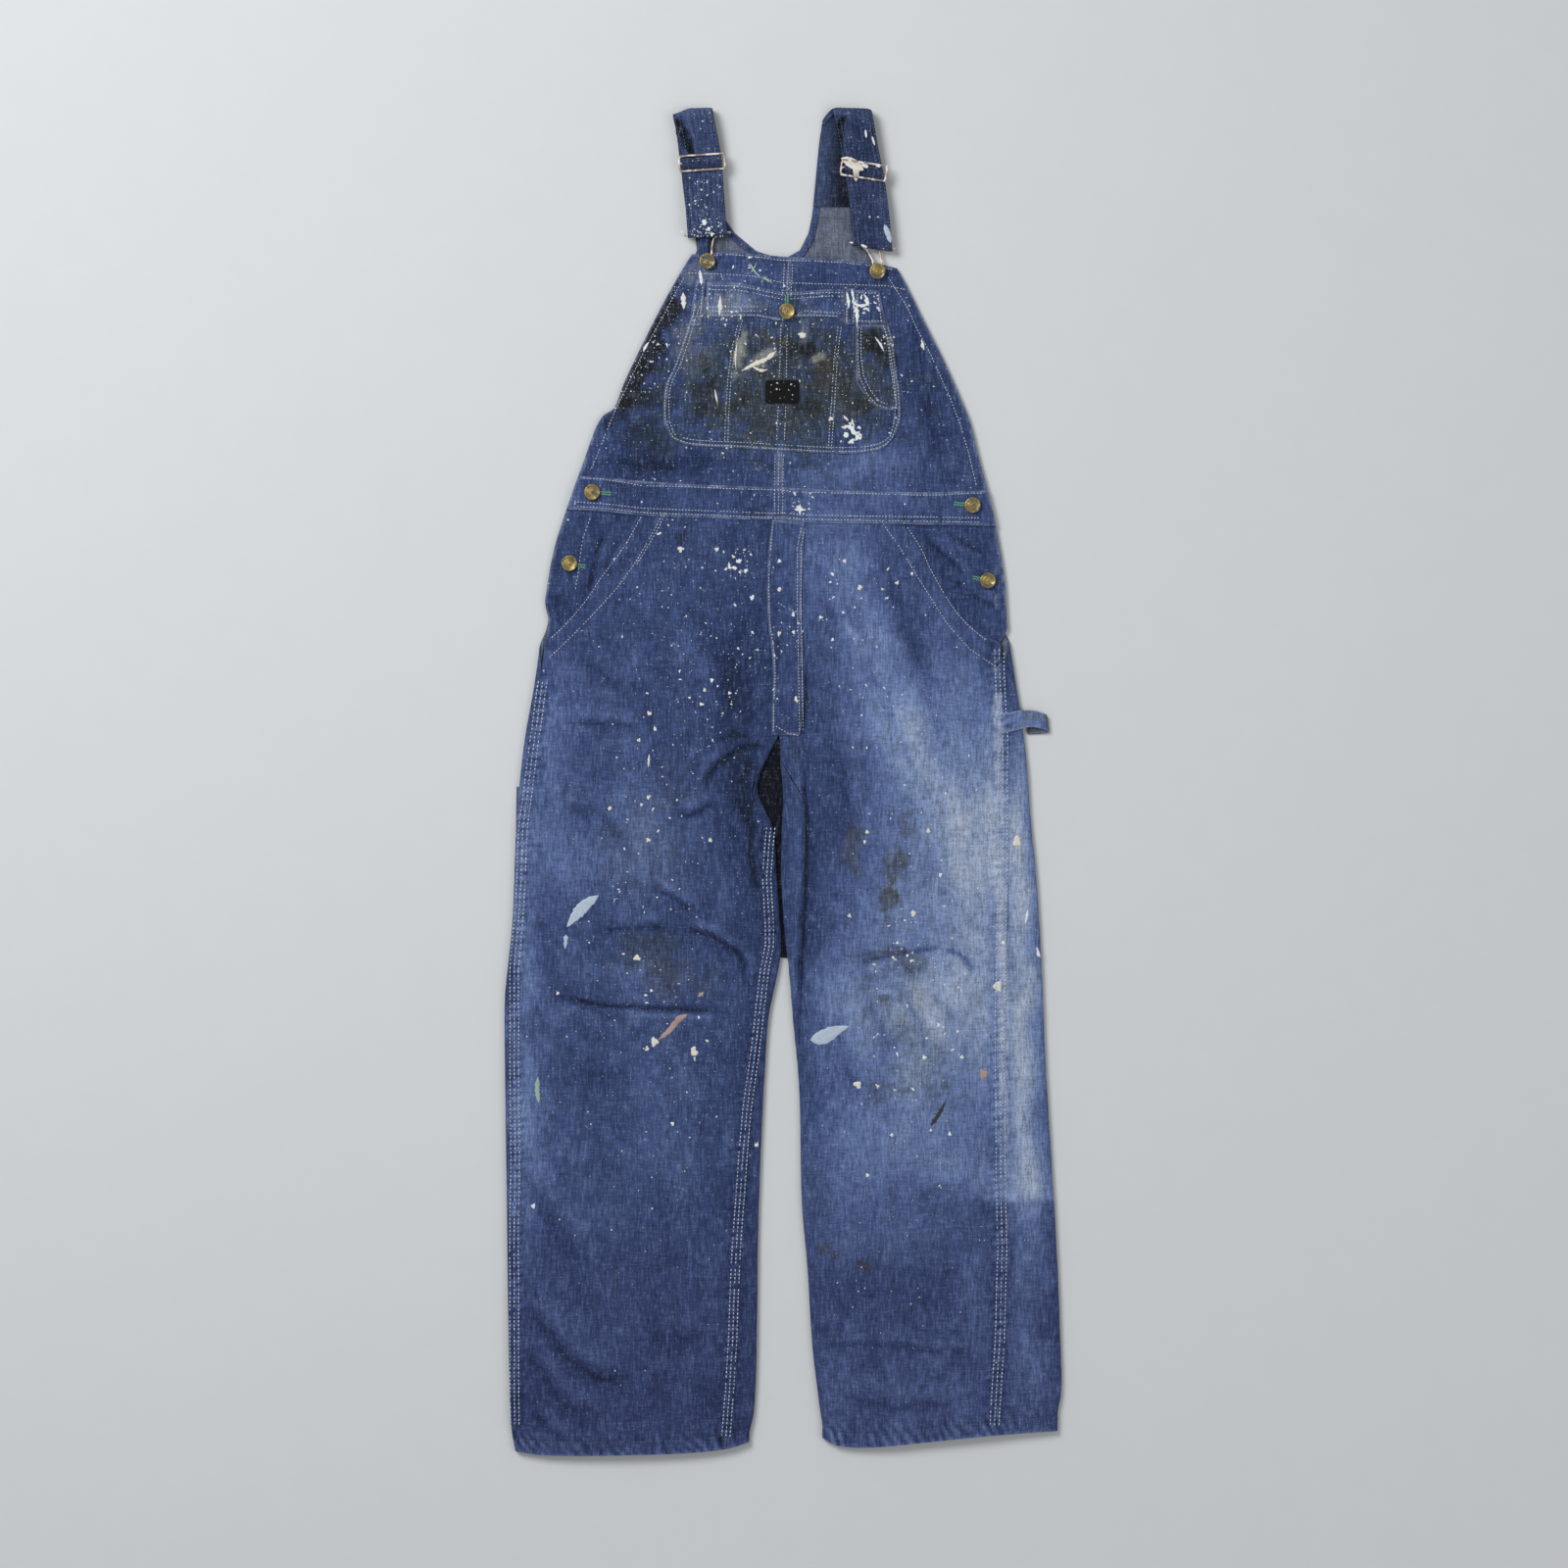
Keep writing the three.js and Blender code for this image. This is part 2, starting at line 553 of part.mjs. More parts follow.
// A solid of revolution about +Z from [radius, height] points, the first and the last on the axis.
function turned(profile, around = 16) {
  const positions = profile.flatMap(([radius, z], i) =>
    i === 0 || i === profile.length - 1
      ? [0, 0, z]
      : Array.from({ length: around }, (_, k) => {
        const angle = (2 * Math.PI * k) / around;
        return [radius * Math.cos(angle), radius * Math.sin(angle), z];
      }).flat());
  const ring = (i, k) => 1 + (i - 1) * around + (k % around);
  const last = positions.length / 3 - 1;
  const faces = [];
  for (let k = 0; k < around; k++) {
    faces.push(0, ring(1, k + 1), ring(1, k));
    faces.push(last, ring(profile.length - 2, k), ring(profile.length - 2, k + 1));
    for (let i = 1; i + 2 < profile.length; i++) {
      faces.push(ring(i, k), ring(i, k + 1), ring(i + 1, k + 1));
      faces.push(ring(i, k), ring(i + 1, k + 1), ring(i + 1, k));
    }
  }
  return new THREE.BufferGeometry()
    .setAttribute("position", new THREE.Float32BufferAttribute(positions, 3))
    .setIndex(faces);
}

// A dungaree button: foot, neck and a dished head.
function button(x, y, raised, neck) {
  const r = BUTTON_RADIUS;
  const head = 0.8 + neck;
  const profile = [
    [0, 0], [5.5, 0], [5.5, 0.8], [3, 0.8], [3, head], [r, head + 0.6], [r - 1.2, head + 2.4],
    [r - 3, head + 1.8], [0, head + 2],
  ];
  return turned(profile).translate(x, y, top(x, y) + raised + GAP + 0.1);
}

// ---------------------------------------------------------------- the parts
const denim = new THREE.MeshStandardMaterial({ color: 0x55678a, roughness: 0.92 });
const freshDenim = new THREE.MeshStandardMaterial({ color: 0x35425f, roughness: 0.92 });
const innerDenim = new THREE.MeshStandardMaterial({ color: 0x8090a0, roughness: 0.92 });
const brass = new THREE.MeshStandardMaterial({ color: 0x9c8352, roughness: 0.45, metalness: 0.9 });
const steel = new THREE.MeshStandardMaterial({ color: 0x9a9890, roughness: 0.4, metalness: 0.9 });
const black = new THREE.MeshStandardMaterial({ color: 0x15161a, roughness: 0.7 });

const group = new THREE.Group();
function add(name, geometry, material) {
  const mesh = new THREE.Mesh(geometry, material.clone());
  mesh.name = name;
  group.add(mesh);
}
const shifted = (line, by) => (input) => line(input) + by;
const level = (value) => () => value;

add("right_back", backRight(), denim);
add("left_back", backLeft(), denim);
add("right_front", frontRight(), denim);
add("left_front", frontLeft(), denim);
add("right_hem", hem(rightLeg), denim);
add("left_hem", hem(leftLeg), denim);
add("rule_pocket", rulePocket(), denim);
add("neck_facing", neckFacing(), innerDenim);

// Hip pieces: the cloth seen behind each pocket mouth, from the side opening to inside the front.
const insideFold = (y) => (FOLD + 3) * (1 - smooth(168, 196, y));
const insideStrip = (y) => (FOLD + 11) * (1 - smooth(140, 168, y));
add("right_hip", laidPiece({
  low: level(122), high: shifted(waist, -GAP), raised: -LAYER,
  left: (y) => outerRight(y) + insideFold(y), right: shifted(slashRight, 45), rows: 8, columns: 5,
}), freshDenim);
add("left_hip", laidPiece({
  low: level(122), high: shifted(waist, -GAP), raised: -LAYER,
  left: shifted(slashLeft, -45), right: (y) => outerLeft(y) - insideStrip(y), rows: 8, columns: 5,
}), freshDenim);

const flyLevels = [50, 62, 78, 98, 120, 150, 172, 200, 240, 280];
add("fly", laidPiece({
  low: level(50), high: shifted(waist, -3 - GAP), raised: LAYER + 0.2,
  left: curve([[50, -12], [75, -12], [110, -10.6], [140, -12], [170, -16], [225, -17], [281, -12]]),
  right: curve([[50, 18], [75, 22], [140, 21], [200, 20], [281, 23]]),
  levels: flyLevels.map((y) => (y - 50) / 230), columns: 4,
}), denim);
add("waistband", laidPiece({
  low: shifted(waist, -3), high: bandTop, left: outerRight, right: outerLeft, raised: LAYER, rows: 2,
  columns: 14,
}), denim);

const bib = { low: waist, high: bibTop, raised: 0, rows: 11, columns: 5 };
add("right_bib", laidPiece({ ...bib, left: outerRight, right: shifted(bibCentre, -half) }), denim);
add("left_bib", laidPiece({ ...bib, left: shifted(bibCentre, half), right: outerLeft }), denim);
add("bib_facing", laidPiece({
  low: shifted(bibTop, -21), high: shifted(bibTop, -0.6),
  left: shifted(outerRight, 2), right: shifted(outerLeft, -2), raised: -LAYER, rows: 2, columns: 10,
}), innerDenim);

// The bib's pocket with what lies on it.
const pocketLow = curve([
  [-128, 385], [-122, 371], [-112, 364], [-98, 360], [-50, 357], [0, 354], [50, 351.5], [85, 352],
  [104, 356], [116, 365], [126, 384],
]);
const pocketHigh = curve([[-100, 519], [-30, 518], [0, 514], [50, 514], [112, 514]]);
const pocketLeft = curve([
  [384, -127.5], [409, -128], [427, -125], [444, -117], [469, -108], [497, -99], [519, -92],
]);
const pocketRight = curve([
  [384, 125], [396, 126], [418, 125], [444, 121], [471, 118], [493, 112], [514, 104],
]);
add("bib_pocket", laidPiece({
  low: pocketLow, high: pocketHigh, left: pocketLeft, right: pocketRight, raised: LAYER, rows: 6,
  columns: 10,
}), denim);
const bandHigh = curve([[-84, 535], [-51, 534], [-28, 530], [0, 524], [51, 527], [66, 527]]);
const bandLow = curve([[-84, 497], [-24, 497], [-5, 493], [20, 497], [53, 497], [66, 491]]);
add("pocket_band", laidPiece({
  low: bandLow, high: bandHigh, left: level(-82), right: level(66), raised: 2 * LAYER, rows: 3, columns: 8,
}), denim);
add("pencil_strip", laidPiece({
  low: level(488), high: level(538),
  left: curve([[488, -101], [538, -93]]), right: curve([[488, -87.5], [538, -82.5]]),
  raised: 2 * LAYER, rows: 3, columns: 1,
}), denim);
add("flap_strip", laidPiece({
  low: level(489), high: level(528), left: level(66.5), right: level(77), raised: 2 * LAYER, rows: 3,
  columns: 1,
}), denim);
add("corner_flap", laidPiece({
  low: level(490), high: level(526), left: level(77.5), right: curve([[490, 110], [526, 103]]),
  raised: 2 * LAYER, rows: 3, columns: 2,
}), denim);
add("watch_pocket", laidPiece({
  low: curve([[76, 432], [84, 418], [99, 401], [112, 397.5], [124, 398]]), high: level(489.4),
  left: level(77.5), right: curve([[398, 122.5], [420, 122], [444, 118.5], [471, 115], [489, 110]]),
  raised: 2 * LAYER, rows: 4, columns: 4,
}), denim);
add("label_patch", labelPatch(), black);

// Straps, slides and hooks.
const bibButtons = { right: [-81, 557], left: [101, 546] };
const straps = {
  right: {
    shoulder: 602, fold: 713.5, slide: 662, end: 583, tilt: 0.07,
    behind: curve([[602, -82], [719, -96]]),
    before: curve([[580, -80.5], [620, -83.5], [662, -86.5], [690, -91], [719, -97]]),
  },
  left: {
    shoulder: 616, fold: 713.5, slide: 653.5, end: 570, tilt: -0.15,
    behind: curve([[616, 53], [719, 63]]),
    before: curve([[570, 96], [600, 93.5], [630, 90], [655, 86], [690, 79], [719, 74]]),
  },
};
for (const [side, s] of Object.entries(straps)) {
  const place = (y) => ({ x: s.before(y), y, tilt: s.tilt });
  const ringHeight = top(...bibButtons[side]) + GAP + 0.8 + 1.6;
  add(`${side}_strap`, strap(s), denim);
  add(`${side}_slide`, slideBuckle(place(s.slide)), steel);
  add(`${side}_hook`, hookLoop({ ...place(s.end + 3.4), button: bibButtons[side], ringHeight }), steel);
  add(`${side}_bib_button`, button(...bibButtons[side], 0, 3), brass);
}
add("pocket_button", button(4, 503, 2 * LAYER, 0.8), brass);
add("right_waist_button", button(-204, 310, LAYER, 0.8), brass);
add("left_waist_button", button(202.6, 296, LAYER, 0.8), brass);
add("right_hip_button", button(-228.5, 234, -LAYER, 0.8), brass);
add("left_hip_button", button(219, 215.5, -LAYER, 0.8), brass);
add("hammer_loop", hammerLoop(), denim);

// Put the origin at the bottom centre of the garment's box.
const box = new THREE.Box3().setFromObject(group);
const centre = box.getCenter(new THREE.Vector3());
for (const mesh of group.children) mesh.geometry.translate(-centre.x, -centre.y, -box.min.z);

export default group;
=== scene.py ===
"""Paint-spattered denim dungarees laid flat on their back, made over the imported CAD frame.

Helpers work in millimetres in the garment's own grid, whose +Y runs from hems to straps and whose +X is the
wearer's left. "Right" and "left" are the wearer's, so the right leg is on the left of the picture.
"""
import math

import bpy
import numpy as np
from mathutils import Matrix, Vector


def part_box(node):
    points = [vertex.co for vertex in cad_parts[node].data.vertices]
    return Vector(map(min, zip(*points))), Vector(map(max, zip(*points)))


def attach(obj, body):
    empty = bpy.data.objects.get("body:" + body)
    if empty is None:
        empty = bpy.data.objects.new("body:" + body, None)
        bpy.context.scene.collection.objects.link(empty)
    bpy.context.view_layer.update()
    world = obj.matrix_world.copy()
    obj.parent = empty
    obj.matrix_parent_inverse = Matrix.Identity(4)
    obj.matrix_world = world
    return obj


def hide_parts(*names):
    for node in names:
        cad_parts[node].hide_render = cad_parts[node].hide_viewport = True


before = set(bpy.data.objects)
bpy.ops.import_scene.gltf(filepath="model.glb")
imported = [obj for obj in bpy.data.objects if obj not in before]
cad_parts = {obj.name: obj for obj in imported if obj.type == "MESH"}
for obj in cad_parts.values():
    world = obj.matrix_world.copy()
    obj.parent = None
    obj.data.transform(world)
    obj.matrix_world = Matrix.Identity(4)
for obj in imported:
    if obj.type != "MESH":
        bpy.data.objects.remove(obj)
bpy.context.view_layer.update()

# ------------------------------------------------------------------ dimensions, as in the CAD part
CLOTH, GAP = 1.2, 0.3
LAYER = CLOTH + GAP  # from one cloth's face to the next one's
HALF = GAP / 2
FOLD = 3.8  # radius of the folded edges
BEND = math.pi * FOLD
HEM, CROTCH, WAIST, NECK = -715, 44, 284, 560.5
SHOULDER_R, SHOULDER_L = 602, 616
STRAP_WIDTH, STRAP_CLOTH, SLIDE_HEIGHT = 42, 2.0, 14
BUTTON_RADIUS = 8.5
BUTTONS = {  # x, y, height above the front, length of its neck
    "right_bib_button": (-81, 557, 0.0, 3), "left_bib_button": (101, 546, 0.0, 3),
    "pocket_button": (4, 503, 2 * LAYER, 0.8), "right_waist_button": (-204, 310, LAYER, 0.8),
    "left_waist_button": (202.6, 296, LAYER, 0.8), "right_hip_button": (-228.5, 234, -LAYER, 0.8),
    "left_hip_button": (219, 215.5, -LAYER, 0.8),
}
PATCH_X, PATCH_Y = -1, 417
FINE = 2.3  # spacing of the trouser panels' points
# How far the frame's own grid lies from the garment's, found from the label patch.
patch_low, patch_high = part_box("label_patch")
SHIFT = np.array([*((patch_low[i] + patch_high[i]) * 500 for i in (0, 1)), 0.0])
SHIFT -= np.array([PATCH_X, PATCH_Y, 0])


# ------------------------------------------------------------------ small mathematics
def mix(a, b, t):
    return a + (b - a) * t


def smooth(a, b, x):
    t = np.clip((np.asarray(x, float) - a) / (b - a), 0, 1)
    return t * t * (3 - 2 * t)


def curve(*points):
    """A smooth function through the points, held level past both ends."""
    p = np.array(points, float)
    i = np.arange(len(p))
    lo, hi = p[np.maximum(i - 1, 0)], p[np.minimum(i + 1, len(p) - 1)]
    slopes = (hi[:, 1] - lo[:, 1]) / (hi[:, 0] - lo[:, 0])

    def at(value):
        x = np.clip(np.asarray(value, float), p[0, 0], p[-1, 0])
        k = np.clip(np.searchsorted(p[:, 0], x, side="right") - 1, 0, len(p) - 2)
        wide = p[k + 1, 0] - p[k, 0]
        t = (x - p[k, 0]) / wide
        s = 1 - t
        return (p[k, 1] * s * s * (1 + 2 * t) + p[k + 1, 1] * t * t * (3 - 2 * t)
                + wide * t * s * (slopes[k] * s - slopes[k + 1] * t))
    return at


TABLE = 256  # cells of noise before it repeats
tables = {}


def noise(x, y, size, seed):
    """Smooth value noise from -1 to 1 with features of the given size; size may be a pair."""
    sx, sy = (size, size) if np.isscalar(size) else size
    if seed not in tables:
        tables[seed] = np.random.default_rng(seed).uniform(-1, 1, (TABLE, TABLE))
    table = tables[seed]
    u, v = np.asarray(x, float) / sx + 91.3, np.asarray(y, float) / sy + 47.7
    i, j = np.floor(u).astype(int), np.floor(v).astype(int)
    fu, fv = u - i, v - j
    fu, fv = fu * fu * (3 - 2 * fu), fv * fv * (3 - 2 * fv)
    at = lambda a, b: table[a % TABLE, b % TABLE]
    return mix(mix(at(i, j), at(i + 1, j), fu), mix(at(i, j + 1), at(i + 1, j + 1), fu), fv)


def layered(x, y, size, seed, octaves=3):
    """Noise in layers, each half as large and half as strong as the last."""
    pair = np.array([size, size]) if np.isscalar(size) else np.array(size, float)
    return sum(noise(x, y, tuple(pair / 2**k), seed + k) * 0.5**k for k in range(octaves)) / 1.6


def along_line(points, x, y):
    """Signed distance to a polyline (positive on its left), how far along it that is, and its length."""
    best, signed, where = np.full(np.shape(x), 1e9), np.zeros(np.shape(x)), np.zeros(np.shape(x))
    run = 0.0
    for (x0, y0), (x1, y1) in zip(points[:-1], points[1:]):
        dx, dy = x1 - x0, y1 - y0
        length = math.hypot(dx, dy)
        t = np.clip(((x - x0) * dx + (y - y0) * dy) / length**2, 0, 1)
        d = np.hypot(x - x0 - t * dx, y - y0 - t * dy)
        near = d < best
        side = np.sign(dx * (y - y0) - dy * (x - x0))
        best = np.where(near, d, best)
        signed = np.where(near, d * side, signed)
        where = np.where(near, run + t * length, where)
        run += length
    return signed, where, run


def distances(points):
    """How far along a line each of its points is."""
    return np.concatenate([[0], np.cumsum(np.linalg.norm(np.diff(points, axis=0), axis=1))])


def metres(points):
    """Length of a line of points in millimetres, in metres."""
    return float(np.linalg.norm(np.diff(points, axis=0), axis=1).sum()) / 1000


def catmull_rom(a, b, c, d, t):
    """Point at t from b to c on the smooth curve through four points."""
    return 0.5 * ((2 * b) + (c - a) * t + (2 * a - 5 * b + 4 * c - d) * t**2
                  + (3 * b - a - 3 * c + d) * t**3)


def smooth_path(points, step, closed=False):
    """Points of a smooth curve through the given ones, about `step` apart."""
    p = np.array(points, float)
    if closed:
        p = np.concatenate([p[-1:], p, p[:2]])
    else:
        p = np.concatenate([[2 * p[0] - p[1]], p, [2 * p[-1] - p[-2]]])
    least = 2 if closed else 1
    out = []
    for i in range(1, len(p) - 2):
        count = max(least, round(np.linalg.norm(p[i + 1] - p[i]) / step))
        for t in np.arange(count) / count:
            out.append(catmull_rom(*p[i - 1:i + 3], t))
    return np.array(out if closed else out + [p[-2]])


def ring_quads(rings, around, closed=False):
    """Quads between rings of points; closed joins the last ring to the first."""
    index = np.arange(rings * around).reshape(rings, around)
    if closed:
        index = np.concatenate([index, index[:1]])
    beside = np.roll(index, -1, 1)
    return np.stack([index[:-1], beside[:-1], beside[1:], index[1:]], -1).reshape(-1, 4)


# ------------------------------------------------------------------ outlines and seams: x at each level y
OUTER_R = curve(
    (-718, -286), (-690, -291), (-600, -294), (-450, -296), (-300, -298), (-230, -298), (-190, -294),
    (-150, -290), (-50, -286), (0, -282), (50, -276), (100, -267), (150, -260), (200, -254), (250, -245),
    (300, -229), (350, -211), (378, -201), (393, -192), (399, -182), (430, -169), (470, -150), (515, -127),
    (552, -106), (566, -97))
OUTER_L = curve(
    (-694, 294), (-665, 298), (-600, 297), (-500, 293), (-400, 287), (-300, 281), (-200, 277), (-100, 271),
    (-40, 265), (20, 261), (75, 254), (120, 247), (170, 240), (215, 237), (262, 230), (300, 222),
    (345, 210), (385, 200), (415, 188), (455, 170), (495, 150), (530, 133), (550, 122))
INNER_R = curve(
    (-706, -36), (-680, -31), (-600, -28), (-500, -27), (-400, -24), (-300, -19), (-250, -15), (-220, -9),
    (-195, -4), (-175, -2), (-140, -4), (-100, -7), (-60, -9), (-45, -12), (-28, -20), (-12, -27), (5, -26),
    (25, -17), (44, -8))
INNER_L = curve(
    (-702, 42), (-670, 38), (-600, 31), (-520, 26), (-450, 20), (-350, 18), (-310, 16), (-260, 11),
    (-200, 6), (-175, 3), (-140, 0), (-100, -2), (-60, -2), (-20, 0), (0, -1), (20, -3), (44, -3))
HEM_R = curve((-288, -716), (-250, -720), (-150, -719), (-100, -717), (-60, -713), (-36, -706))
HEM_L = curve((42, -702), (60, -710), (100, -711), (150, -706), (220, -699), (260, -696), (298, -694))
WAIST_LINE = curve(
    (-235, 295), (-200, 293), (-150, 288), (-50, 284), (0, 283), (30, 280), (100, 279), (225, 277))
BAND_TOP = curve((-222, 328), (-174, 324), (-108, 319), (0, 315), (60, 312), (150, 310), (215, 312))
BIB_TOP = curve((-97, 565), (-60, 567), (-30, 565), (0, 562), (50, 560), (100, 555), (122, 550))
BIB_CENTRE = curve((280, -4), (353, -3), (560, 7))
REACH_R = curve(
    (-700, 20), (-600, 18), (-500, 15), (-420, 10), (-350, 8), (-290, 5), (-160, 3), (-28, 3), (0, 0),
    (22, -4), (38, -BEND / 2))
REACH_L = curve(
    (-700, -25), (-500, -20), (-400, -15), (-320, -7), (-280, 0), (-250, 4), (-220, 8), (-180, 13),
    (-140, 20), (-60, 23), (-20, 18), (5, 6), (22, -2), (38, -BEND / 2))
OUTSEAM_L = curve(
    (-700, 231), (-600, 235), (-500, 238), (-400, 236), (-250, 236), (-150, 240), (-50, 240), (100, 238),
    (150, 232))
CENTRE_FRONT = curve((44, -5), (80, -3), (140, 0))
CENTRE_BACK = curve((44, -5), (120, 0))
SLASH_R = curve((150, -255), (168, -236), (192, -215), (222, -195), (248, -175), (288, -152))
SLASH_L = curve((142, 234), (151, 221), (168, 200), (193, 180), (228, 160), (250, 150), (283, 128))
BACK_SIDE_R = curve(
    (284, -229), (350, -205), (400, -178), (470, -144), (520, -118), (555, -98), (575, -92), (602, -99))
BACK_SIDE_L = curve(
    (284, 220), (345, 204), (415, 182), (495, 144), (530, 121), (560, 93), (575, 88), (590, 84), (616, 74))
NECK_R = curve((560.5, 0), (563, -17), (570, -30), (582, -45), (592, -55), (602, -61))
NECK_L = curve((560.5, 0), (563, 11), (570, 18), (582, 25), (596, 29), (616, 32))
CREST = curve(
    (-720, 12), (-600, 12.5), (-230, 13), (-100, 13.5), (60, 14.5), (200, 13), (290, 11.5), (450, 10.5),
    (565, 9))
RIM = curve((-720, 2 * FOLD), (150, 2 * FOLD), (300, 6.5), (450, 5.5), (565, 5))
POCKET_LOW = curve(
    (-128, 385), (-122, 371), (-112, 364), (-98, 360), (-50, 357), (0, 354), (50, 351.5), (85, 352),
    (104, 356), (116, 365), (126, 384))
POCKET_HIGH = curve((-100, 519), (-30, 518), (0, 514), (50, 514), (112, 514))
POCKET_LEFT = curve(
    (384, -127.5), (409, -128), (427, -125), (444, -117), (469, -108), (497, -99), (519, -92))
POCKET_RIGHT = curve((384, 125), (396, 126), (418, 125), (444, 121), (471, 118), (493, 112), (514, 104))
PBAND_HIGH = curve((-84, 535), (-51, 534), (-28, 530), (0, 524), (51, 527), (66, 527))
PBAND_LOW = curve((-84, 497), (-24, 497), (-5, 493), (20, 497), (53, 497), (66, 491))
WATCH_LOW = curve((76, 432), (84, 418), (99, 401), (112, 397.5), (124, 398))
WATCH_RIGHT = curve((398, 122.5), (420, 122), (444, 118.5), (471, 115), (489, 110))
FLY_LEFT = curve((50, -12), (75, -12), (110, -10.6), (140, -12), (170, -16), (225, -17), (281, -12))
FLY_RIGHT = curve((50, 18), (75, 22), (140, 21), (200, 20), (281, 23))


def crown(x, y, left, right):
    """Height of a smooth crowned tube between its folded edges."""
    across = np.clip(2 * (x - left) / (right - left) - 1, -1, 1)
    return mix(CREST(y), RIM(y), across * across)


def smooth_top(x, y):
    """Height of the front's upper face with no wrinkles."""
    body = crown(x, y, OUTER_R(y) + FOLD, OUTER_L(y) - FOLD)
    right = crown(x, y, OUTER_R(y) + FOLD, INNER_R(y) - FOLD)
    left = crown(x, y, INNER_L(y) + FOLD, OUTER_L(y) - FOLD)
    leg = np.where(x < (INNER_R(y) + INNER_L(y)) / 2, right, left)
    return mix(body, leg, smooth(98, CROTCH, y))


# ------------------------------------------------------------------ creases and seams
CREASES = [  # points, half width, depth, side of the ridge
    ([(-258, -228), (-235, -230), (-212, -234), (-193, -238), (-151, -241), (-100, -243), (-76, -245),
      (-53, -250)], 4.5, 2.6, -1),
    ([(-262, -231), (-225, -236), (-190, -247), (-160, -251)], 7, 1.0, -1),
    ([(-200, -159), (-174, -157), (-140, -157), (-116, -156)], 7, 1.4, 1),
    ([(-144, -111), (-121, -121), (-104, -134), (-90, -139)], 5, 1.6, 1),
    ([(-106, -149), (-99, -157), (-76, -165), (-60, -176), (-48, -184), (-43, -196), (-41, -212)],
     5, 2.2, 1),
    ([(-116, -36), (-99, -37), (-85, -29), (-72, -18)], 6, 1.6, 1),
    ([(-12, 37), (-29, 40), (-44, 37), (-60, 26), (-71, 15), (-80, 2), (-84, -14)], 5, 2.6, -1),
    ([(-228, 65), (-190, 61), (-151, 60)], 6, 1.3, 1),
    ([(-55, -15), (-42, -30), (-34, -45), (-34, -85), (-25, -123)], 6, 1.8, -1),
    ([(-70, 46), (-52, 50), (-30, 47)], 5, 1.3, 1),
    ([(-282, -552), (-254, -589), (-222, -622), (-194, -638), (-151, -642)], 9, 1.8, 1),
    ([(-284, -600), (-259, -631), (-231, -668), (-200, -684)], 9, 1.4, 1),
    ([(-270, -672), (-250, -694), (-225, -706)], 6, 1.0, 1),
    ([(-284, -406), (-261, -453), (-238, -490), (-205, -512)], 11, 1.3, 1),
    ([(-150, -590), (-110, -600), (-80, -590)], 12, 1.0, 1),
    ([(-240, -300), (-205, -312), (-160, -316)], 12, 1.0, 1),
    ([(24, 124), (24, 95), (22, 60), (21, 40)], 3.6, 1.8, -1),
    ([(21, 36), (25, -27), (25, -85), (24, -132), (20, -179), (18, -226), (19, -270)], 4.5, 2.2, -1),
    ([(40, 52), (60, 20), (70, -30), (66, -80)], 9, 1.0, 1),
    ([(78, -195), (95, -190), (121, -185), (158, -179), (176, -177)], 5, 1.6, -1),
    ([(170, -180), (189, -184), (198, -193), (205, -207)], 4, 1.9, -1),
    ([(112, -214), (132, -231), (149, -273), (152, -300)], 8, 1.3, 1),
    ([(90, -225), (107, -271), (125, -293)], 8, 1.2, 1),
    ([(160, -215), (178, -245), (182, -285)], 9, 1.1, -1),
    ([(56, -240), (62, -290), (80, -330)], 10, 0.9, 1),
    ([(30, -604), (90, -600), (150, -606), (222, -612)], 5, 0.8, 1),
    ([(60, -655), (120, -668), (190, -664)], 8, 1.0, 1),
    ([(60, 205), (95, 130), (122, 60), (138, -10)], 13, 1.3, 1),
    ([(110, 235), (132, 160), (158, 90), (172, 20)], 11, 1.1, -1),
    ([(34, 262), (52, 180), (66, 110)], 10, 0.9, 1),
    ([(-190, 272), (-198, 250), (-203, 228), (-210, 201)], 4, 1.6, 1),
    ([(-176, 262), (-186, 240), (-190, 222)], 4, 1.0, 1),
    ([(150, 262), (176, 240), (200, 214)], 4, 1.3, 1),
    ([(168, 272), (196, 255), (222, 240)], 4, 1.2, -1),
    ([(178, 220), (202, 200), (232, 184)], 4.5, 1.2, 1),
    ([(-170, 380), (-140, 372), (-118, 345)], 8, 1.0, 1),
    ([(150, 420), (160, 380), (170, 340)], 10, 0.9, -1),
    ([(132, 500), (150, 450), (158, 400)], 9, 0.8, 1),
    ([(-60, 345), (-20, 338), (40, 336), (90, 340)], 7, 0.8, 1),
    ([(-200, 350), (-150, 336), (-100, 334)], 7, 0.8, -1),
    ([(-105, 205), (-80, 160), (-62, 110), (-52, 60)], 13, 1.0, -1),
    ([(-215, 130), (-180, 100), (-150, 95)], 10, 0.9, 1),
    ([(-230, -20), (-190, -40), (-160, -80)], 12, 0.9, 1),
    ([(190, 40), (205, -40), (200, -120)], 12, 1.0, -1),
]


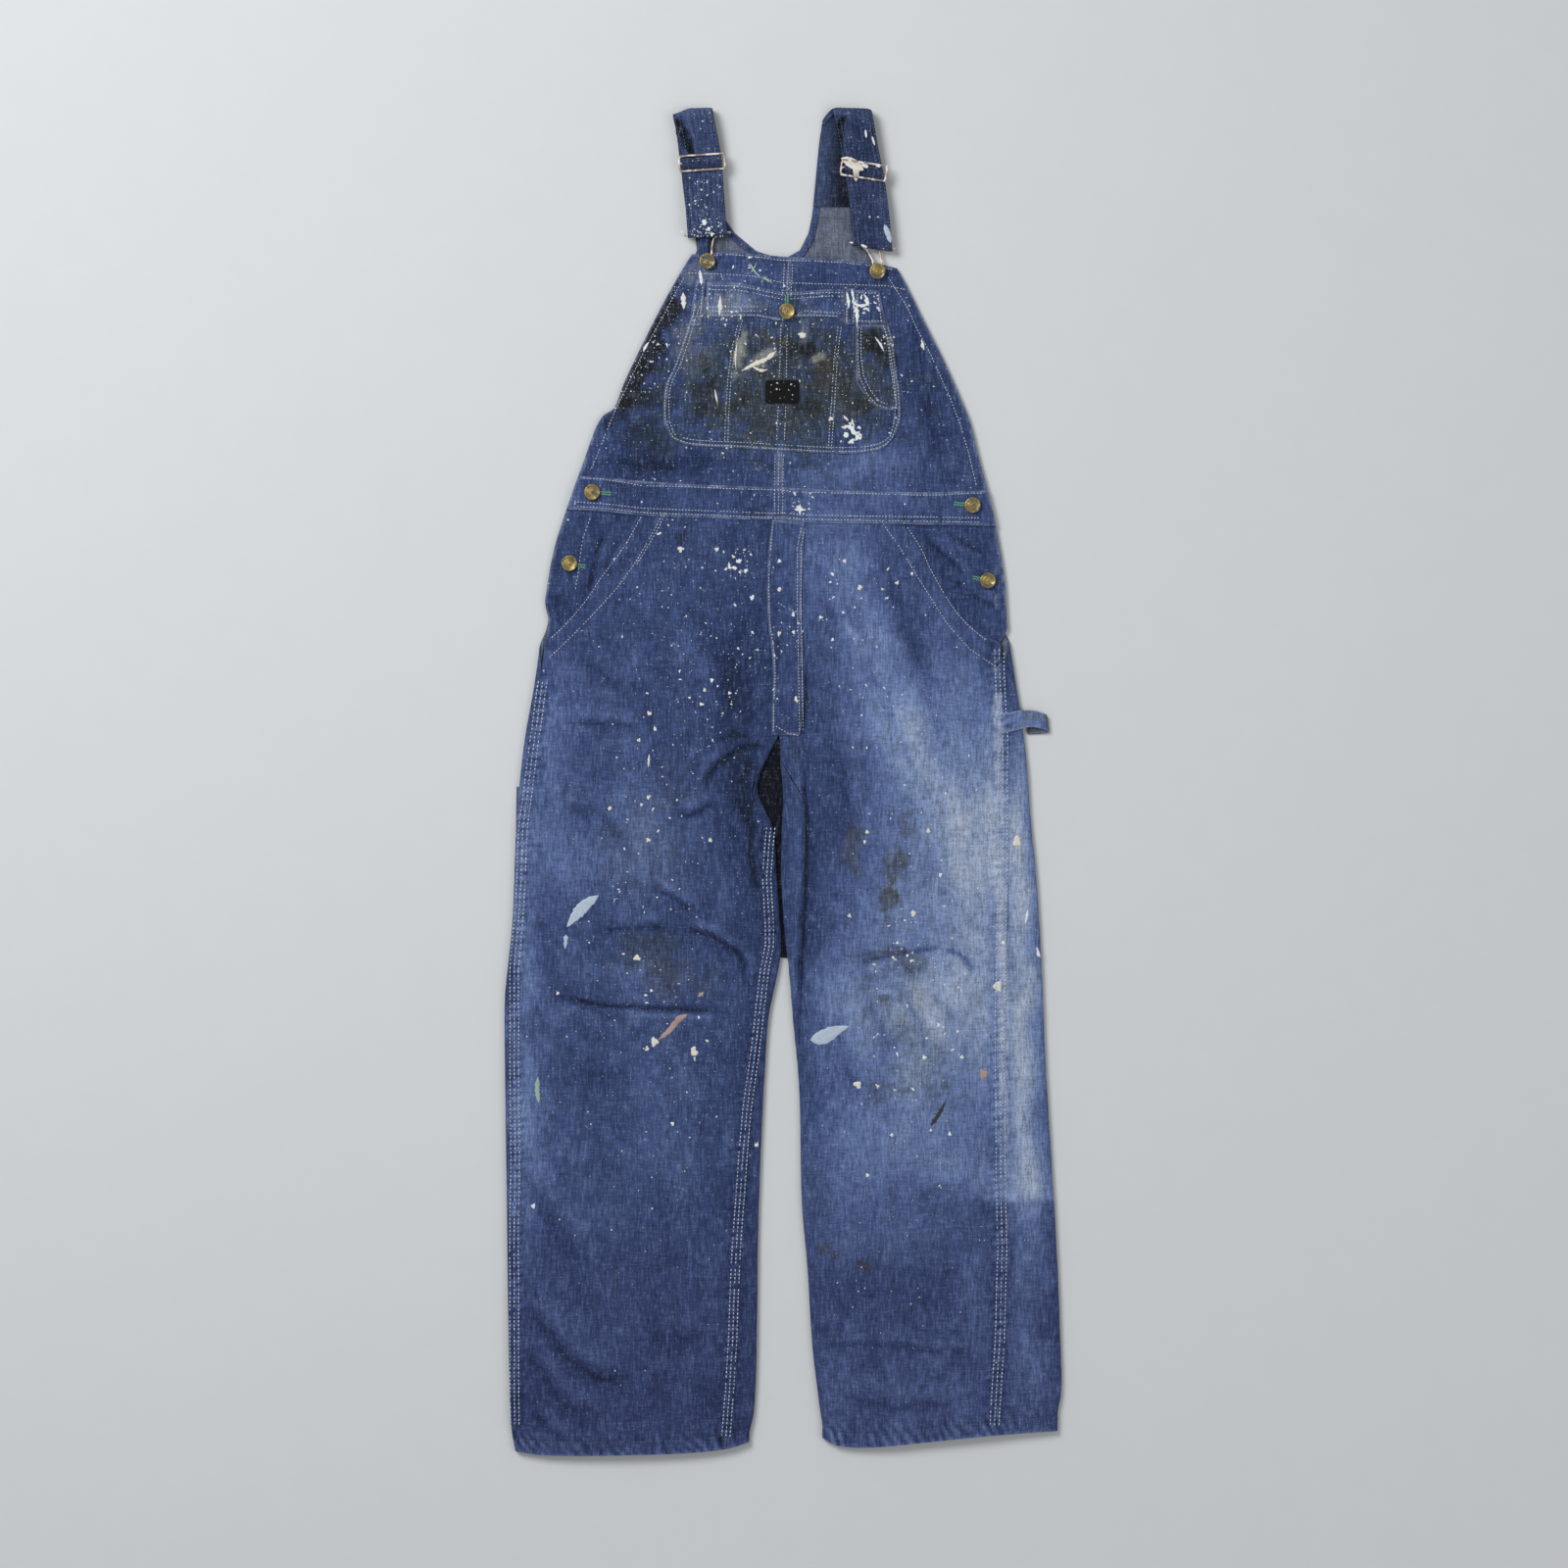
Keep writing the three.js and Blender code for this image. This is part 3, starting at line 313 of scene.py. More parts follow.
def creased(x, y):
    """Height added by the creases, and their tint: painted shade in the valleys (negative) and a lighter
    ridge (positive), partly wear and partly painted highlight.
    """
    height, tint = np.zeros(np.shape(x)), np.zeros(np.shape(x))
    for points, width, depth, side in CREASES:
        p = np.array(points, float)
        far = 5 * width
        near = ((x > p[:, 0].min() - far) & (x < p[:, 0].max() + far)
                & (y > p[:, 1].min() - far) & (y < p[:, 1].max() + far))
        if not near.any():
            continue
        nx, ny = x[near], y[near]
        wobble = noise(nx, ny, 22, 5) * 0.35 * width
        signed, where, run = along_line(points, nx, ny)
        signed = signed + wobble
        ends = smooth(0, 0.22 * run, where) * smooth(run, 0.78 * run, where)
        valley = np.exp(-(signed / width) ** 2)
        ridge = np.exp(-((signed * side - 1.7 * width) / (1.25 * width)) ** 2)
        line = np.exp(-(signed / (1.2 + 0.22 * width)) ** 2)
        soft = float(smooth(6, 10, width))
        height[near] += depth * ends * (0.8 * ridge - 0.65 * valley - 0.4 * line)
        # Painted shade along the valley and its middle line; the ridge's lightening is partly wear and partly
        # painted highlight.
        shade = 0.6 * ridge - mix(0.45, 0.9, soft) * valley - mix(1.6, 0.35, soft) * line
        tint[near] += 0.42 * min(depth, 2.2) * ends * shade
    return height, tint


# Felled seams with three rows of stitches: middle line and half width.
SEAMS = {
    "right_outseam": ([
        (-257, 108), (-265, 50), (-271.5, 0), (-278, -50), (-280, -100), (-283, -150), (-287.5, -200),
        (-287.5, -300), (-286.5, -400), (-287.5, -500), (-287.5, -600), (-287, -690)], 5.8),
    "right_inseam": ([
        (-13, -48), (-15.5, -75), (-17.5, -100), (-14.5, -150), (-14.5, -175), (-19.5, -200), (-25.5, -250),
        (-31.5, -300), (-38.5, -350), (-43, -400), (-46.5, -450), (-50, -500), (-52.5, -550), (-54, -600),
        (-57, -650), (-61.5, -702)], 5.6),
    "left_outseam": ([
        (231, 143), (232.5, 100), (235.5, 50), (235, 0), (235, -100), (233.5, -150), (233, -200),
        (231.5, -250), (231.5, -300), (232.5, -350), (232.5, -400), (234.2, -500), (231.5, -600),
        (228, -650), (226, -690)], 6),
}


def puckered(x, y):
    """Height along the felled seams, the hems and the turned edges, and a tint that is partly wear and partly
    painted shade and highlight.
    """
    height, tint = np.zeros(np.shape(x)), np.zeros(np.shape(x))
    for k, (points, width) in enumerate(SEAMS.values()):
        near = np.abs(x - np.interp(-y, [-p[1] for p in points], [p[0] for p in points])) < 30
        if not near.any():
            continue
        nx, ny = x[near], y[near]
        signed, where, run = along_line(points, nx, ny)
        inside = smooth(width + 2.5, width - 0.5, np.abs(signed))
        inside = inside * smooth(-4, 6, where) * smooth(run + 4, run - 6, where)
        beside = np.exp(-((np.abs(signed) - width - 3) / 4) ** 2)
        phase = where / 4.1 + 1.4 * noise(where, where * 0, 60, 31 + k) + 0.05 * signed
        ripple = np.sin(phase * math.pi / 1.15) * (0.7 + 0.5 * noise(where, signed, (30, 6), 41 + k))
        height[near] += inside * (0.75 + 0.30 * ripple) + beside * 0.30 * ripple
        # Pucker crowns lighter, partly wear and partly painted highlight; painted shade along the seam and
        # beside it.
        tint[near] += inside * (0.75 * ripple - 0.35) + beside * (0.3 * ripple - 0.35)
    for hem, lo, hi in ((HEM_R, -300, -30), (HEM_L, 36, 305)):
        rise = y - hem(x)
        near = (x > lo) & (x < hi) & (rise < 34)
        rope = np.sin((x * 0.9 + rise * 0.6) / 1.7 + 4.5 * noise(x, y, 32, 51))
        rope = rope * (0.6 + 0.6 * noise(x, y, 21, 52))
        band = smooth(17, 13.5, rise) * near
        above = np.exp(-((rise - 19) / 6) ** 2) * near
        height += band * (0.55 + 0.42 * rope) + above * 0.35 * rope
        # Hem ropes lighter on their crowns, partly wear and partly painted highlight; painted shade at the
        # turned hem's upper edge; the pale fold at the bottom is wear.
        tint += band * (0.15 + 0.8 * rope) + above * 0.4 * rope
        tint -= near * 0.4 * np.exp(-((rise - 15.2) / 1.8) ** 2)
        tint += near * 0.7 * np.exp(-(rise / 2.2) ** 2)
    return height, tint


def wrinkled(x, y):
    """All the relief of the front: soft waves, a fine crumple, creases and seams; and its tint, with the
    painted shade and highlight of the creases and seams and a random tone.
    """
    waves = 0.55 * layered(x, y, (85, 150), 11) + 0.28 * layered(x, y, (34, 52), 15)
    crumple = 0.10 * layered(x, y, (11, 16), 19)
    calm = smooth(0, 14, np.minimum(x - OUTER_R(y), OUTER_L(y) - x))
    ch, ct = creased(x, y)
    ph, pt = puckered(x, y)
    fine = layered(x, y, (34, 52), 15) * 0.24 + layered(x, y, (11, 16), 19) * 0.34
    return (waves + crumple) * calm + ch * (0.35 + 0.65 * calm) + ph, ct + pt + fine


def top(x, y):
    return smooth_top(x, y) + wrinkled(x, y)[0]


# ------------------------------------------------------------------ colour of the cloth
# Fade runs from -1.5 (raw indigo) through 0 (washed) to 4 (palest), with painted shade and highlight added to
# it in places; each row ends in its sRGB colour.
RAMP = np.array([
    (-1.5, 26, 36, 62), (-1, 36, 50, 86), (0, 55, 70, 111), (1, 84, 102, 146), (2, 113, 132, 171),
    (3, 148, 162, 188), (4, 176, 186, 203)], float)
FADE_AND_SHADE_ZONES = [  # x, y, half width, half height, turn in degrees, fade added; the rows marked below add painted shade
    # bib
    (60, 335, 66, 17, 0, 0.95), (-120, 335, 60, 20, 0, -0.4), (-150, 415, 26, 62, 0, -0.5),
    (150, 430, 30, 80, 0, -0.4), (-60, 518, 34, 17, 0, 1.3), (45, 514, 40, 13, 0, 0.5),
    (-30, 551, 60, 9, 0, 0.35), (-100, 430, 18, 50, 0, 0.2),
    # waistband, hips and fly
    (120, 298, 80, 14, 0, 0.35), (-205, 305, 24, 16, 0, 0.3), (-45, 110, 26, 100, 0, -0.85),
    # (-60, 5) adds painted shade in the valley beside the crotch.
    (-60, 5, 26, 40, 0, -0.5), (-190, 90, 50, 70, 0, 0.25), (-252, 70, 16, 90, 0, 0.65),
    (5, 150, 16, 110, 0, 0.1),
    # right leg: thigh, folded edge, inner thigh (painted shade in the valley beside the crotch gap), knee,
    # shin
    (-155, -60, 55, 75, 0, 0.95), (-230, -90, 34, 80, 0, 0.6), (-279, -80, 14, 190, 0, 1.2),
    (-36, -60, 20, 90, 0, -0.75), (-150, -212, 60, 22, 0, 0.4), (-150, -330, 62, 90, 0, 0.35),
    (-279, -380, 17, 150, 0, 1.3), (-36, -430, 13, 250, 0, -0.55), (-150, -640, 130, 70, 0, -0.35),
    # left leg: the long fade from hip to shin, then the folded edge and the dark inner side
    (55, 235, 34, 50, 0, 0.8), (80, 145, 34, 62, 16, 1.1), (120, 50, 38, 62, 18, 1.5),
    (200, 70, 46, 70, 0, 0.8), (165, -50, 58, 80, 0, 1.35), (215, -60, 40, 120, 0, 1.4),
    (258, -60, 17, 110, 0, 2.1), (95, -90, 34, 70, 0, 0.6), (145, -240, 80, 62, 0, 2.3),
    (215, -240, 36, 110, 0, 1.0), (260, -300, 20, 170, 0, 2.9), (140, -345, 72, 60, 0, 1.0),
    (60, -240, 30, 60, 0, 1.0), (262, -420, 20, 40, 0, 0.4), (130, -670, 110, 40, 0, 0.4),
    (150, -240, 50, 40, 0, 0.6), (120, -400, 90, 40, 0, 0.45), (266, -640, 26, 60, 0, 0.3),
    (60, -590, 40, 60, 0, 0.2), (-150, -400, 90, 60, 0, 0.2), (233, -170, 6, 260, 1, 1.3),
    (-242, 60, 20, 60, 0, 0.7), (60, 240, 40, 50, 0, 0.35), (190, 110, 40, 50, 0, 0.4),
    # (-196, 208) and (190, 200) add painted shade along the slash pocket mouths.
    (120, 50, 40, 60, 18, 0.4), (-150, -215, 50, 30, 0, 0.25), (-196, 208, 9, 88, -33, -0.5),
    (190, 200, 9, 80, 38, -0.35), (-120, 335, 70, 24, 0, -0.5), (-150, 350, 40, 30, 0, -0.3),
    (-255, -60, 30, 60, 0, 0.5), (-155, -60, 30, 40, 0, 0.4), (-262, -400, 20, 80, 0, 0.5),
    (215, -60, 30, 60, 0, 0.4), (170, -20, 62, 120, 12, 0.45), (220, -60, 30, 90, 0, 0.35),
    (150, 200, 50, 50, 0, 0.3), (60, 300, 50, 24, 0, 0.35), (100, 345, 80, 24, 0, 0.4),
    (84, 145, 5, 55, 32, 0.6), (129, 75, 8, 117, 25, 0.5), (104, 34, 7, 106, 23, -0.35),
    # (-14, 130) adds painted shade along the fly's left edge.
    (-14, 130, 6, 150, 3, -0.5), (-150, -620, 90, 60, 0, 0.2), (180, -620, 90, 60, 0, 0.15),
    (160, -135, 50, 55, 0, 1.15), (95, -155, 34, 40, 0, 0.65), (205, -165, 32, 36, 0, 0.55),
    (140, -305, 26, 30, 0, 0.9), (218, -310, 14, 50, 0, 0.9), (170, -390, 60, 90, 0, 0.35),
    (235, -540, 50, 90, 0, 0.45), (-288, -165, 10, 50, 0, 0.7), (-250, -340, 30, 130, 0, 0.4),
    # (-36, -20) adds painted shade beside the crotch gap.
    (-36, -380, 14, 160, 0, 0.4), (-36, -20, 22, 60, 0, -0.5), (200, -415, 60, 40, 0, 0.9),
    (70, -390, 50, 90, 0, 0.7), (120, -480, 90, 30, 0, 0.5), (24, -140, 15, 120, 0, -0.3),
    (264, -560, 16, 90, 0, 0.3),
]
GRIME = [  # x, y, half width, half height, turn in degrees, strength, kind
    (-147, 462, 26, 68, -28, 0.95, "black"), (-168, 420, 22, 24, 0, 0.9, "black"),
    (-128, 520, 12, 24, -25, 0.7, "black"), (-135, 410, 22, 20, 0, 0.5, "black"),
    (30, 455, 34, 30, 0, 0.75, "olive"), (-5, 440, 26, 34, 0, 0.45, "olive"),
    (100, 466, 22, 20, 0, 0.8, "olive"), (98, 415, 22, 30, 0, 0.45, "olive"),
    (-78, 430, 26, 30, 0, 0.5, "olive"), (0, 425, 122, 76, 0, 0.8, "wash"),
    (233, -130, 5, 250, 1, 0.62, "bleached"), (-15, 400, 60, 34, 0, 0.6, "olive"),
    (28, 462, 15, 12, 0, 0.9, "black"), (-84, 442, 6, 14, 12, 0.8, "black"),
    (-76, 424, 5, 9, -20, 0.7, "black"), (-4, 470, 12, 9, 0, 0.6, "brown"),
    (98, 468, 14, 14, 0, 0.85, "black"), (46, 444, 12, 18, 20, 0.6, "brown"),
    (-20, 476, 14, 8, 10, 0.6, "brown"), (-88, 398, 7, 9, 0, 0.6, "black"),
    (-48, 402, 9, 7, 30, 0.55, "black"), (22, 408, 14, 9, 0, 0.5, "black"),
    (92, 402, 8, 10, 0, 0.5, "black"), (66, 420, 12, 14, 0, 0.4, "black"),
    (60, 420, 40, 34, 0, 0.55, "olive"), (-40, 470, 30, 20, 0, 0.3, "olive"),
    (-100, 470, 20, 30, 20, 0.3, "grey"), (-60, 512, 34, 13, 0, 0.5, "grey"),
    (-90, 545, 18, 12, 0, 0.35, "grey"), (-46, 462, 6, 22, -8, 0.62, "pale"),
    (-24, 450, 18, 8, 30, 0.6, "pale"), (22, 480, 6, 10, 0, 0.5, "grey"), (37, 454, 8, 4, 20, 0.5, "pale"),
    (18, 446, 5, 5, 0, 0.5, "pale"), (-91, 417, 6, 9, 0, 0.5, "black"), (-40, 410, 6, 6, 0, 0.5, "black"),
    (-30, 462, 7, 5, 0, 0.4, "black"), (8, 462, 7, 9, 0, 0.5, "black"), (80, 406, 7, 6, 0, 0.6, "black"),
    (112, 452, 8, 16, 0, 0.6, "black"), (60, 462, 9, 7, 0, 0.4, "black"),
    (25, 402, 15, 12, 0, 0.5, "black"), (-146, 376, 26, 20, 10, 0.5, "black"),
    (-135, 372, 30, 24, 0, 0.4, "wash"), (74, -67, 11, 28, 0, 0.5, "moss"),
    (122, -90, 12, 30, -10, 0.65, "moss"), (113, -126, 11, 22, 0, 0.65, "moss"),
    (132, -50, 10, 16, 0, 0.45, "moss"), (284, 72, 24, 14, 0, 0.5, "grey"),
    (126, -190, 24, 12, -10, 0.5, "olive"), (90, -190, 20, 8, 0, 0.3, "olive"),
    (120, -240, 38, 36, 0, 0.24, "olive"), (150, -300, 30, 34, 0, 0.26, "olive"),
    (112, -228, 9, 7, 30, 0.5, "black"), (105, -330, 26, 14, 0, 0.3, "olive"),
    (89, -517, 9, 7, 0, 0.5, "brown"), (43, -500, 6, 6, 0, 0.5, "brown"),
    (56, -507, 5, 5, 0, 0.45, "brown"), (-140, -190, 36, 26, 0, 0.42, "olive"),
    (-110, -210, 40, 22, 0, 0.3, "olive"), (-150, -70, 42, 46, 0, 0.25, "olive"),
    (-120, 0, 20, 30, 0, 0.2, "olive"), (-108, 262, 10, 6, 30, 0.5, "black"),
    (-30, 290, 12, 5, 10, 0.4, "black"), (15, 36, 8, 14, 0, 0.25, "olive"),
    (160, -330, 10, 14, -30, 0.3, "olive"),
]
STAIN = {
    "black": (24, 25, 27), "olive": (56, 58, 52), "brown": (60, 55, 42), "moss": (66, 68, 56),
    "grey": (118, 124, 134), "wash": (50, 63, 78), "pale": (150, 152, 142), "bleached": (164, 176, 198),
}


def linear(rgb):
    """Linear colour from sRGB values up to 255."""
    c = np.asarray(rgb, float) / 255
    return np.where(c <= 0.04045, c / 12.92, ((c + 0.055) / 1.055) ** 2.4)


def blob(x, y, bx, by, half_width, half_height, turn):
    """How far into an ellipse each point is: 1 in the middle, 0.37 on its rim."""
    a = math.radians(turn)
    dx, dy = x - bx, y - by
    u, v = dx * math.cos(a) + dy * math.sin(a), dy * math.cos(a) - dx * math.sin(a)
    return np.exp(-(u / half_width) ** 2 - (v / half_height) ** 2)


def fade_and_shade_at(x, y):
    """Sum of the faded zones and the zones of painted shade, whose rims wander a little."""
    wx, wy = x + 9 * noise(x, y, 46, 61), y + 14 * noise(x, y, 60, 62)
    return -0.10 + sum(fade_and_shade * blob(wx, wy, *zone) for *zone, fade_and_shade in FADE_AND_SHADE_ZONES)


def washed(fade_and_shade):
    """The cloth's sRGB colour at each level of fade and painted shade."""
    return np.stack([np.interp(fade_and_shade, RAMP[:, 0], RAMP[:, k]) for k in (1, 2, 3)], -1)


TIDE_LINE = -447  # level where the left leg's outer edge changes tone sharply


def denim_colour(x, y, tint, offset=0.0):
    """Linear colour of the cloth at each point from its fade, painted shade and highlight, wear and stains.
    """
    fade_and_shade = fade_and_shade_at(x, y) + offset
    edge = TIDE_LINE + 2.5 * noise(x, y, 40, 63) - 0.02 * (x - 225)
    lower = smooth(170, 215, x) * smooth(edge + 3, edge - 3, y) * smooth(-520, -470, y)
    upper = smooth(190, 225, x) * smooth(edge - 3, edge + 3, y) * smooth(-400, -440, y)
    fade_and_shade = fade_and_shade - 0.3 * lower + 0.7 * upper
    # tint brings the creases' and seams' painted shade and highlight, along with their wear.
    fade_and_shade = fade_and_shade + 0.19 * layered(x, y, (26, 60), 71) + 0.11 * layered(x, y, (7, 26), 75, 2) + tint
    duller = (smooth(-380, -600, y) * 0.9)[..., None]
    colour = linear(washed(fade_and_shade) + duller * np.array([0.0, -3.0, -3.0]))
    for *zone, strength, kind in GRIME:
        inside = blob(x, y, *zone)
        ragged = 0.8 * layered(x, y, 14, 81 + len(kind), 4) + 0.6 * layered(x, y, 4.6, 88, 2)
        mask = smooth(0.15, 0.7, inside + ragged * np.sqrt(inside)) * strength
        colour = mix(colour, linear(STAIN[kind]), mask[..., None])
    return colour


# ------------------------------------------------------------------ meshes
def new_object(name, verts, faces, colours=None, material=None, sharp=40):
    """An object from points in millimetres and faces of equal size, with its colours on its points."""
    me = bpy.data.meshes.new(name)
    verts = (np.asarray(verts, float).reshape(-1, 3) + SHIFT) / 1000
    faces = np.asarray(faces, np.int32)
    me.vertices.add(len(verts))
    me.vertices.foreach_set("co", verts.ravel())
    me.loops.add(faces.size)
    me.loops.foreach_set("vertex_index", faces.ravel())
    me.polygons.add(len(faces))
    me.polygons.foreach_set("loop_start", np.arange(0, faces.size, faces.shape[1], dtype=np.int32))
    me.update(calc_edges=True)
    me.validate()
    me.polygons.foreach_set("use_smooth", np.ones(len(faces), bool))
    if sharp:
        me.set_sharp_from_angle(angle=math.radians(sharp))
    if colours is not None:
        attribute = me.attributes.new("base", "FLOAT_COLOR", "POINT")
        rgba = np.ones((len(verts), 4))
        rgba[:, :3] = np.asarray(colours).reshape(-1, 3)
        attribute.data.foreach_set("color", rgba.ravel())
    obj = bpy.data.objects.new(name, me)
    bpy.context.collection.objects.link(obj)
    if material:
        me.materials.append(material)
    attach(obj, "root")
    return obj


def normals_of(p):
    """Unit normals of a grid of points."""
    up, across = np.gradient(p, axis=0), np.gradient(p, axis=1)
    n = np.cross(across, up)
    return n / np.maximum(np.linalg.norm(n, axis=-1, keepdims=True), 1e-9)


COARSE = 4  # the inner face of a wall has one row and column for this many of the outer face


def thinned(count):
    """One index in every COARSE, and the last one."""
    kept = list(range(0, count, COARSE))
    return np.array(kept if kept[-1] == count - 1 else kept + [count - 1])


def two_triangles(a, b, c, d):
    """Each quad of four corners as two triangles."""
    quads = np.stack([a, b, c, d], -1).reshape(-1, 4)
    return np.concatenate([quads[:, [0, 1, 2]], quads[:, [0, 2, 3]]])


def rim_triangles(fine, coarse, kept, turned):
    """A strip between the outer edge's points and the fewer points of the inner edge."""
    out = []
    for j in range(len(kept) - 1):
        for i in range(kept[j], kept[j + 1]):
            out.append((coarse[j], fine[i + 1], fine[i]))
        out.append((coarse[j], coarse[j + 1], fine[kept[j + 1]]))
    out = np.array(out)
    return out[:, ::-1] if turned else out


def inner_points(p, normal, thickness, rows, columns, closed):
    """Points of the inner face, far enough in to stay below every crease between them."""
    m, n = p.shape[:2]
    here, away = p[np.ix_(rows, columns)], normal[np.ix_(rows, columns)]
    deepest = np.zeros(here.shape[:2])
    for i in range(-COARSE, COARSE + 1):
        for j in range(-COARSE, COARSE + 1):
            beside = np.mod(columns + j, n) if closed else np.clip(columns + j, 0, n - 1)
            around = np.ix_(np.clip(rows + i, 0, m - 1), beside)
            drop = ((here - p[around]) * away).sum(-1)
            alike = (normal[around] * away).sum(-1) > 0.6
            deepest = np.maximum(deepest, drop * alike)
    return here - away * (thickness + np.minimum(deepest, 3))[..., None]


def wall(name, p, colours, inner, material, thickness=1.1, closed=False):
    """A closed wall of cloth from the grid of its outer face. inner is the inner face's colour or colours."""
    m, n = p.shape[:2]
    normal = normals_of(np.concatenate([p[:, -1:], p, p[:, :1]], 1))[:, 1:-1] if closed else normals_of(p)
    rows, columns = thinned(m), np.arange(0, n, COARSE) if closed else thinned(n)
    back = inner_points(p, normal, thickness, rows, columns, closed)
    inner = np.broadcast_to(inner, p.shape)[np.ix_(rows, columns)]
    o = np.arange(m * n).reshape(m, n)
    k = m * n + np.arange(back[..., 0].size).reshape(back.shape[:2])
    if closed:
        o, k = np.concatenate([o, o[:, :1]], 1), np.concatenate([k, k[:, :1]], 1)
        columns = np.append(columns, n)
    faces = [two_triangles(o[:-1, :-1], o[:-1, 1:], o[1:, 1:], o[1:, :-1]),
             two_triangles(k[:-1, :-1], k[1:, :-1], k[1:, 1:], k[:-1, 1:]),
             rim_triangles(o[0], k[0], columns, False), rim_triangles(o[-1], k[-1], columns, True)]
    if not closed:
        faces += [rim_triangles(o[:, 0], k[:, 0], rows, True), rim_triangles(o[:, -1], k[:, -1], rows, False)]
    verts = np.concatenate([p.reshape(-1, 3), back.reshape(-1, 3)])
    shades = np.concatenate([colours.reshape(-1, 3), inner.reshape(-1, 3)])
    return new_object(name, verts, np.concatenate(faces), shades, material)


# ------------------------------------------------------------------ materials
class Graph:
    """A material's node tree, with one-line helpers."""

    def __init__(self, name):
        self.material = bpy.data.materials.new(name)
        self.material.use_nodes = True
        self.nodes, self.links = self.material.node_tree.nodes, self.material.node_tree.links
        self.shader = self.nodes["Principled BSDF"]
        self.place = self.nodes.new("ShaderNodeTexCoord").outputs["Object"]

    def node(self, kind, inputs=None, **settings):
        made = self.nodes.new(kind)
        for key, value in settings.items():
            setattr(made, key, value)
        for key, value in (inputs or {}).items():
            self.feed(made.inputs[key], value)
        return made

    def feed(self, socket, value):
        if isinstance(value, bpy.types.NodeSocket):
            self.links.new(value, socket)
        else:
            socket.default_value = value

    def math(self, operation, a, b):
        return self.node("ShaderNodeMath", {0: a, 1: b}, operation=operation).outputs[0]

    def noise(self, size_mm, detail=2.0, stretch=(1, 1, 1)):
        """Noise from 0 to 1 with features of the given size; stretch lengthens them along an axis."""
        mapped = self.node("ShaderNodeMapping", {
            "Vector": self.place, "Scale": tuple(1 / s for s in stretch)}).outputs[0]
        return self.node("ShaderNodeTexNoise", {
            "Vector": mapped, "Scale": 1000 / size_mm, "Detail": detail, "Roughness": 0.6}).outputs["Fac"]

    def span(self, value, a, b, c, d):
        """The value carried from the range a to b over to the range c to d."""
        return self.node("ShaderNodeMapRange", {
            "Value": value, "From Min": a, "From Max": b, "To Min": c, "To Max": d}).outputs[0]

    def vector(self, operation, a, b):
        return self.node("ShaderNodeVectorMath", {0: a, 1: b}, operation=operation).outputs[0]

    def blend(self, factor, a, b):
        made = self.node("ShaderNodeMix", data_type="RGBA")
        self.feed(made.inputs[0], factor)
        self.feed(made.inputs[6], a)
        self.feed(made.inputs[7], b)
        return made.outputs[2]

    def bump(self, height, distance_mm, strength):
        made = self.node("ShaderNodeBump", {
            "Height": height, "Distance": distance_mm / 1000, "Strength": strength}).outputs[0]
        self.links.new(made, self.shader.inputs["Normal"])


def speck_mask(g, spacing_mm, smallest_mm, largest_mm, share, thick):
    """One irregular speck in each cell of a grid, shown where the cloth's points ask for enough of them."""
    bent = g.node("ShaderNodeTexNoise", {"Vector": g.place, "Scale": 900.0, "Detail": 1.0}).outputs["Color"]
    where = g.vector("ADD", g.place, g.vector("MULTIPLY", bent, (0.0011, 0.0011, 0)))
    cells = g.node("ShaderNodeTexVoronoi", {
        "Vector": where, "Scale": 1000 / spacing_mm}, voronoi_dimensions="2D")
    tone = g.node("ShaderNodeSeparateColor", {"Color": cells.outputs["Color"]})
    size = g.math("POWER", tone.outputs["Red"], 2.5)
    radius = g.span(size, 0, 1, smallest_mm / spacing_mm, largest_mm / spacing_mm)
    chosen = g.math("LESS_THAN", tone.outputs["Green"], g.math("MULTIPLY", thick, share))
    return g.math("MULTIPLY", g.math("LESS_THAN", cells.outputs["Distance"], radius), chosen)


WORN_THREADS, SPECKS = (0.27, 0.33, 0.46, 1), (0.60, 0.63, 0.64, 1)


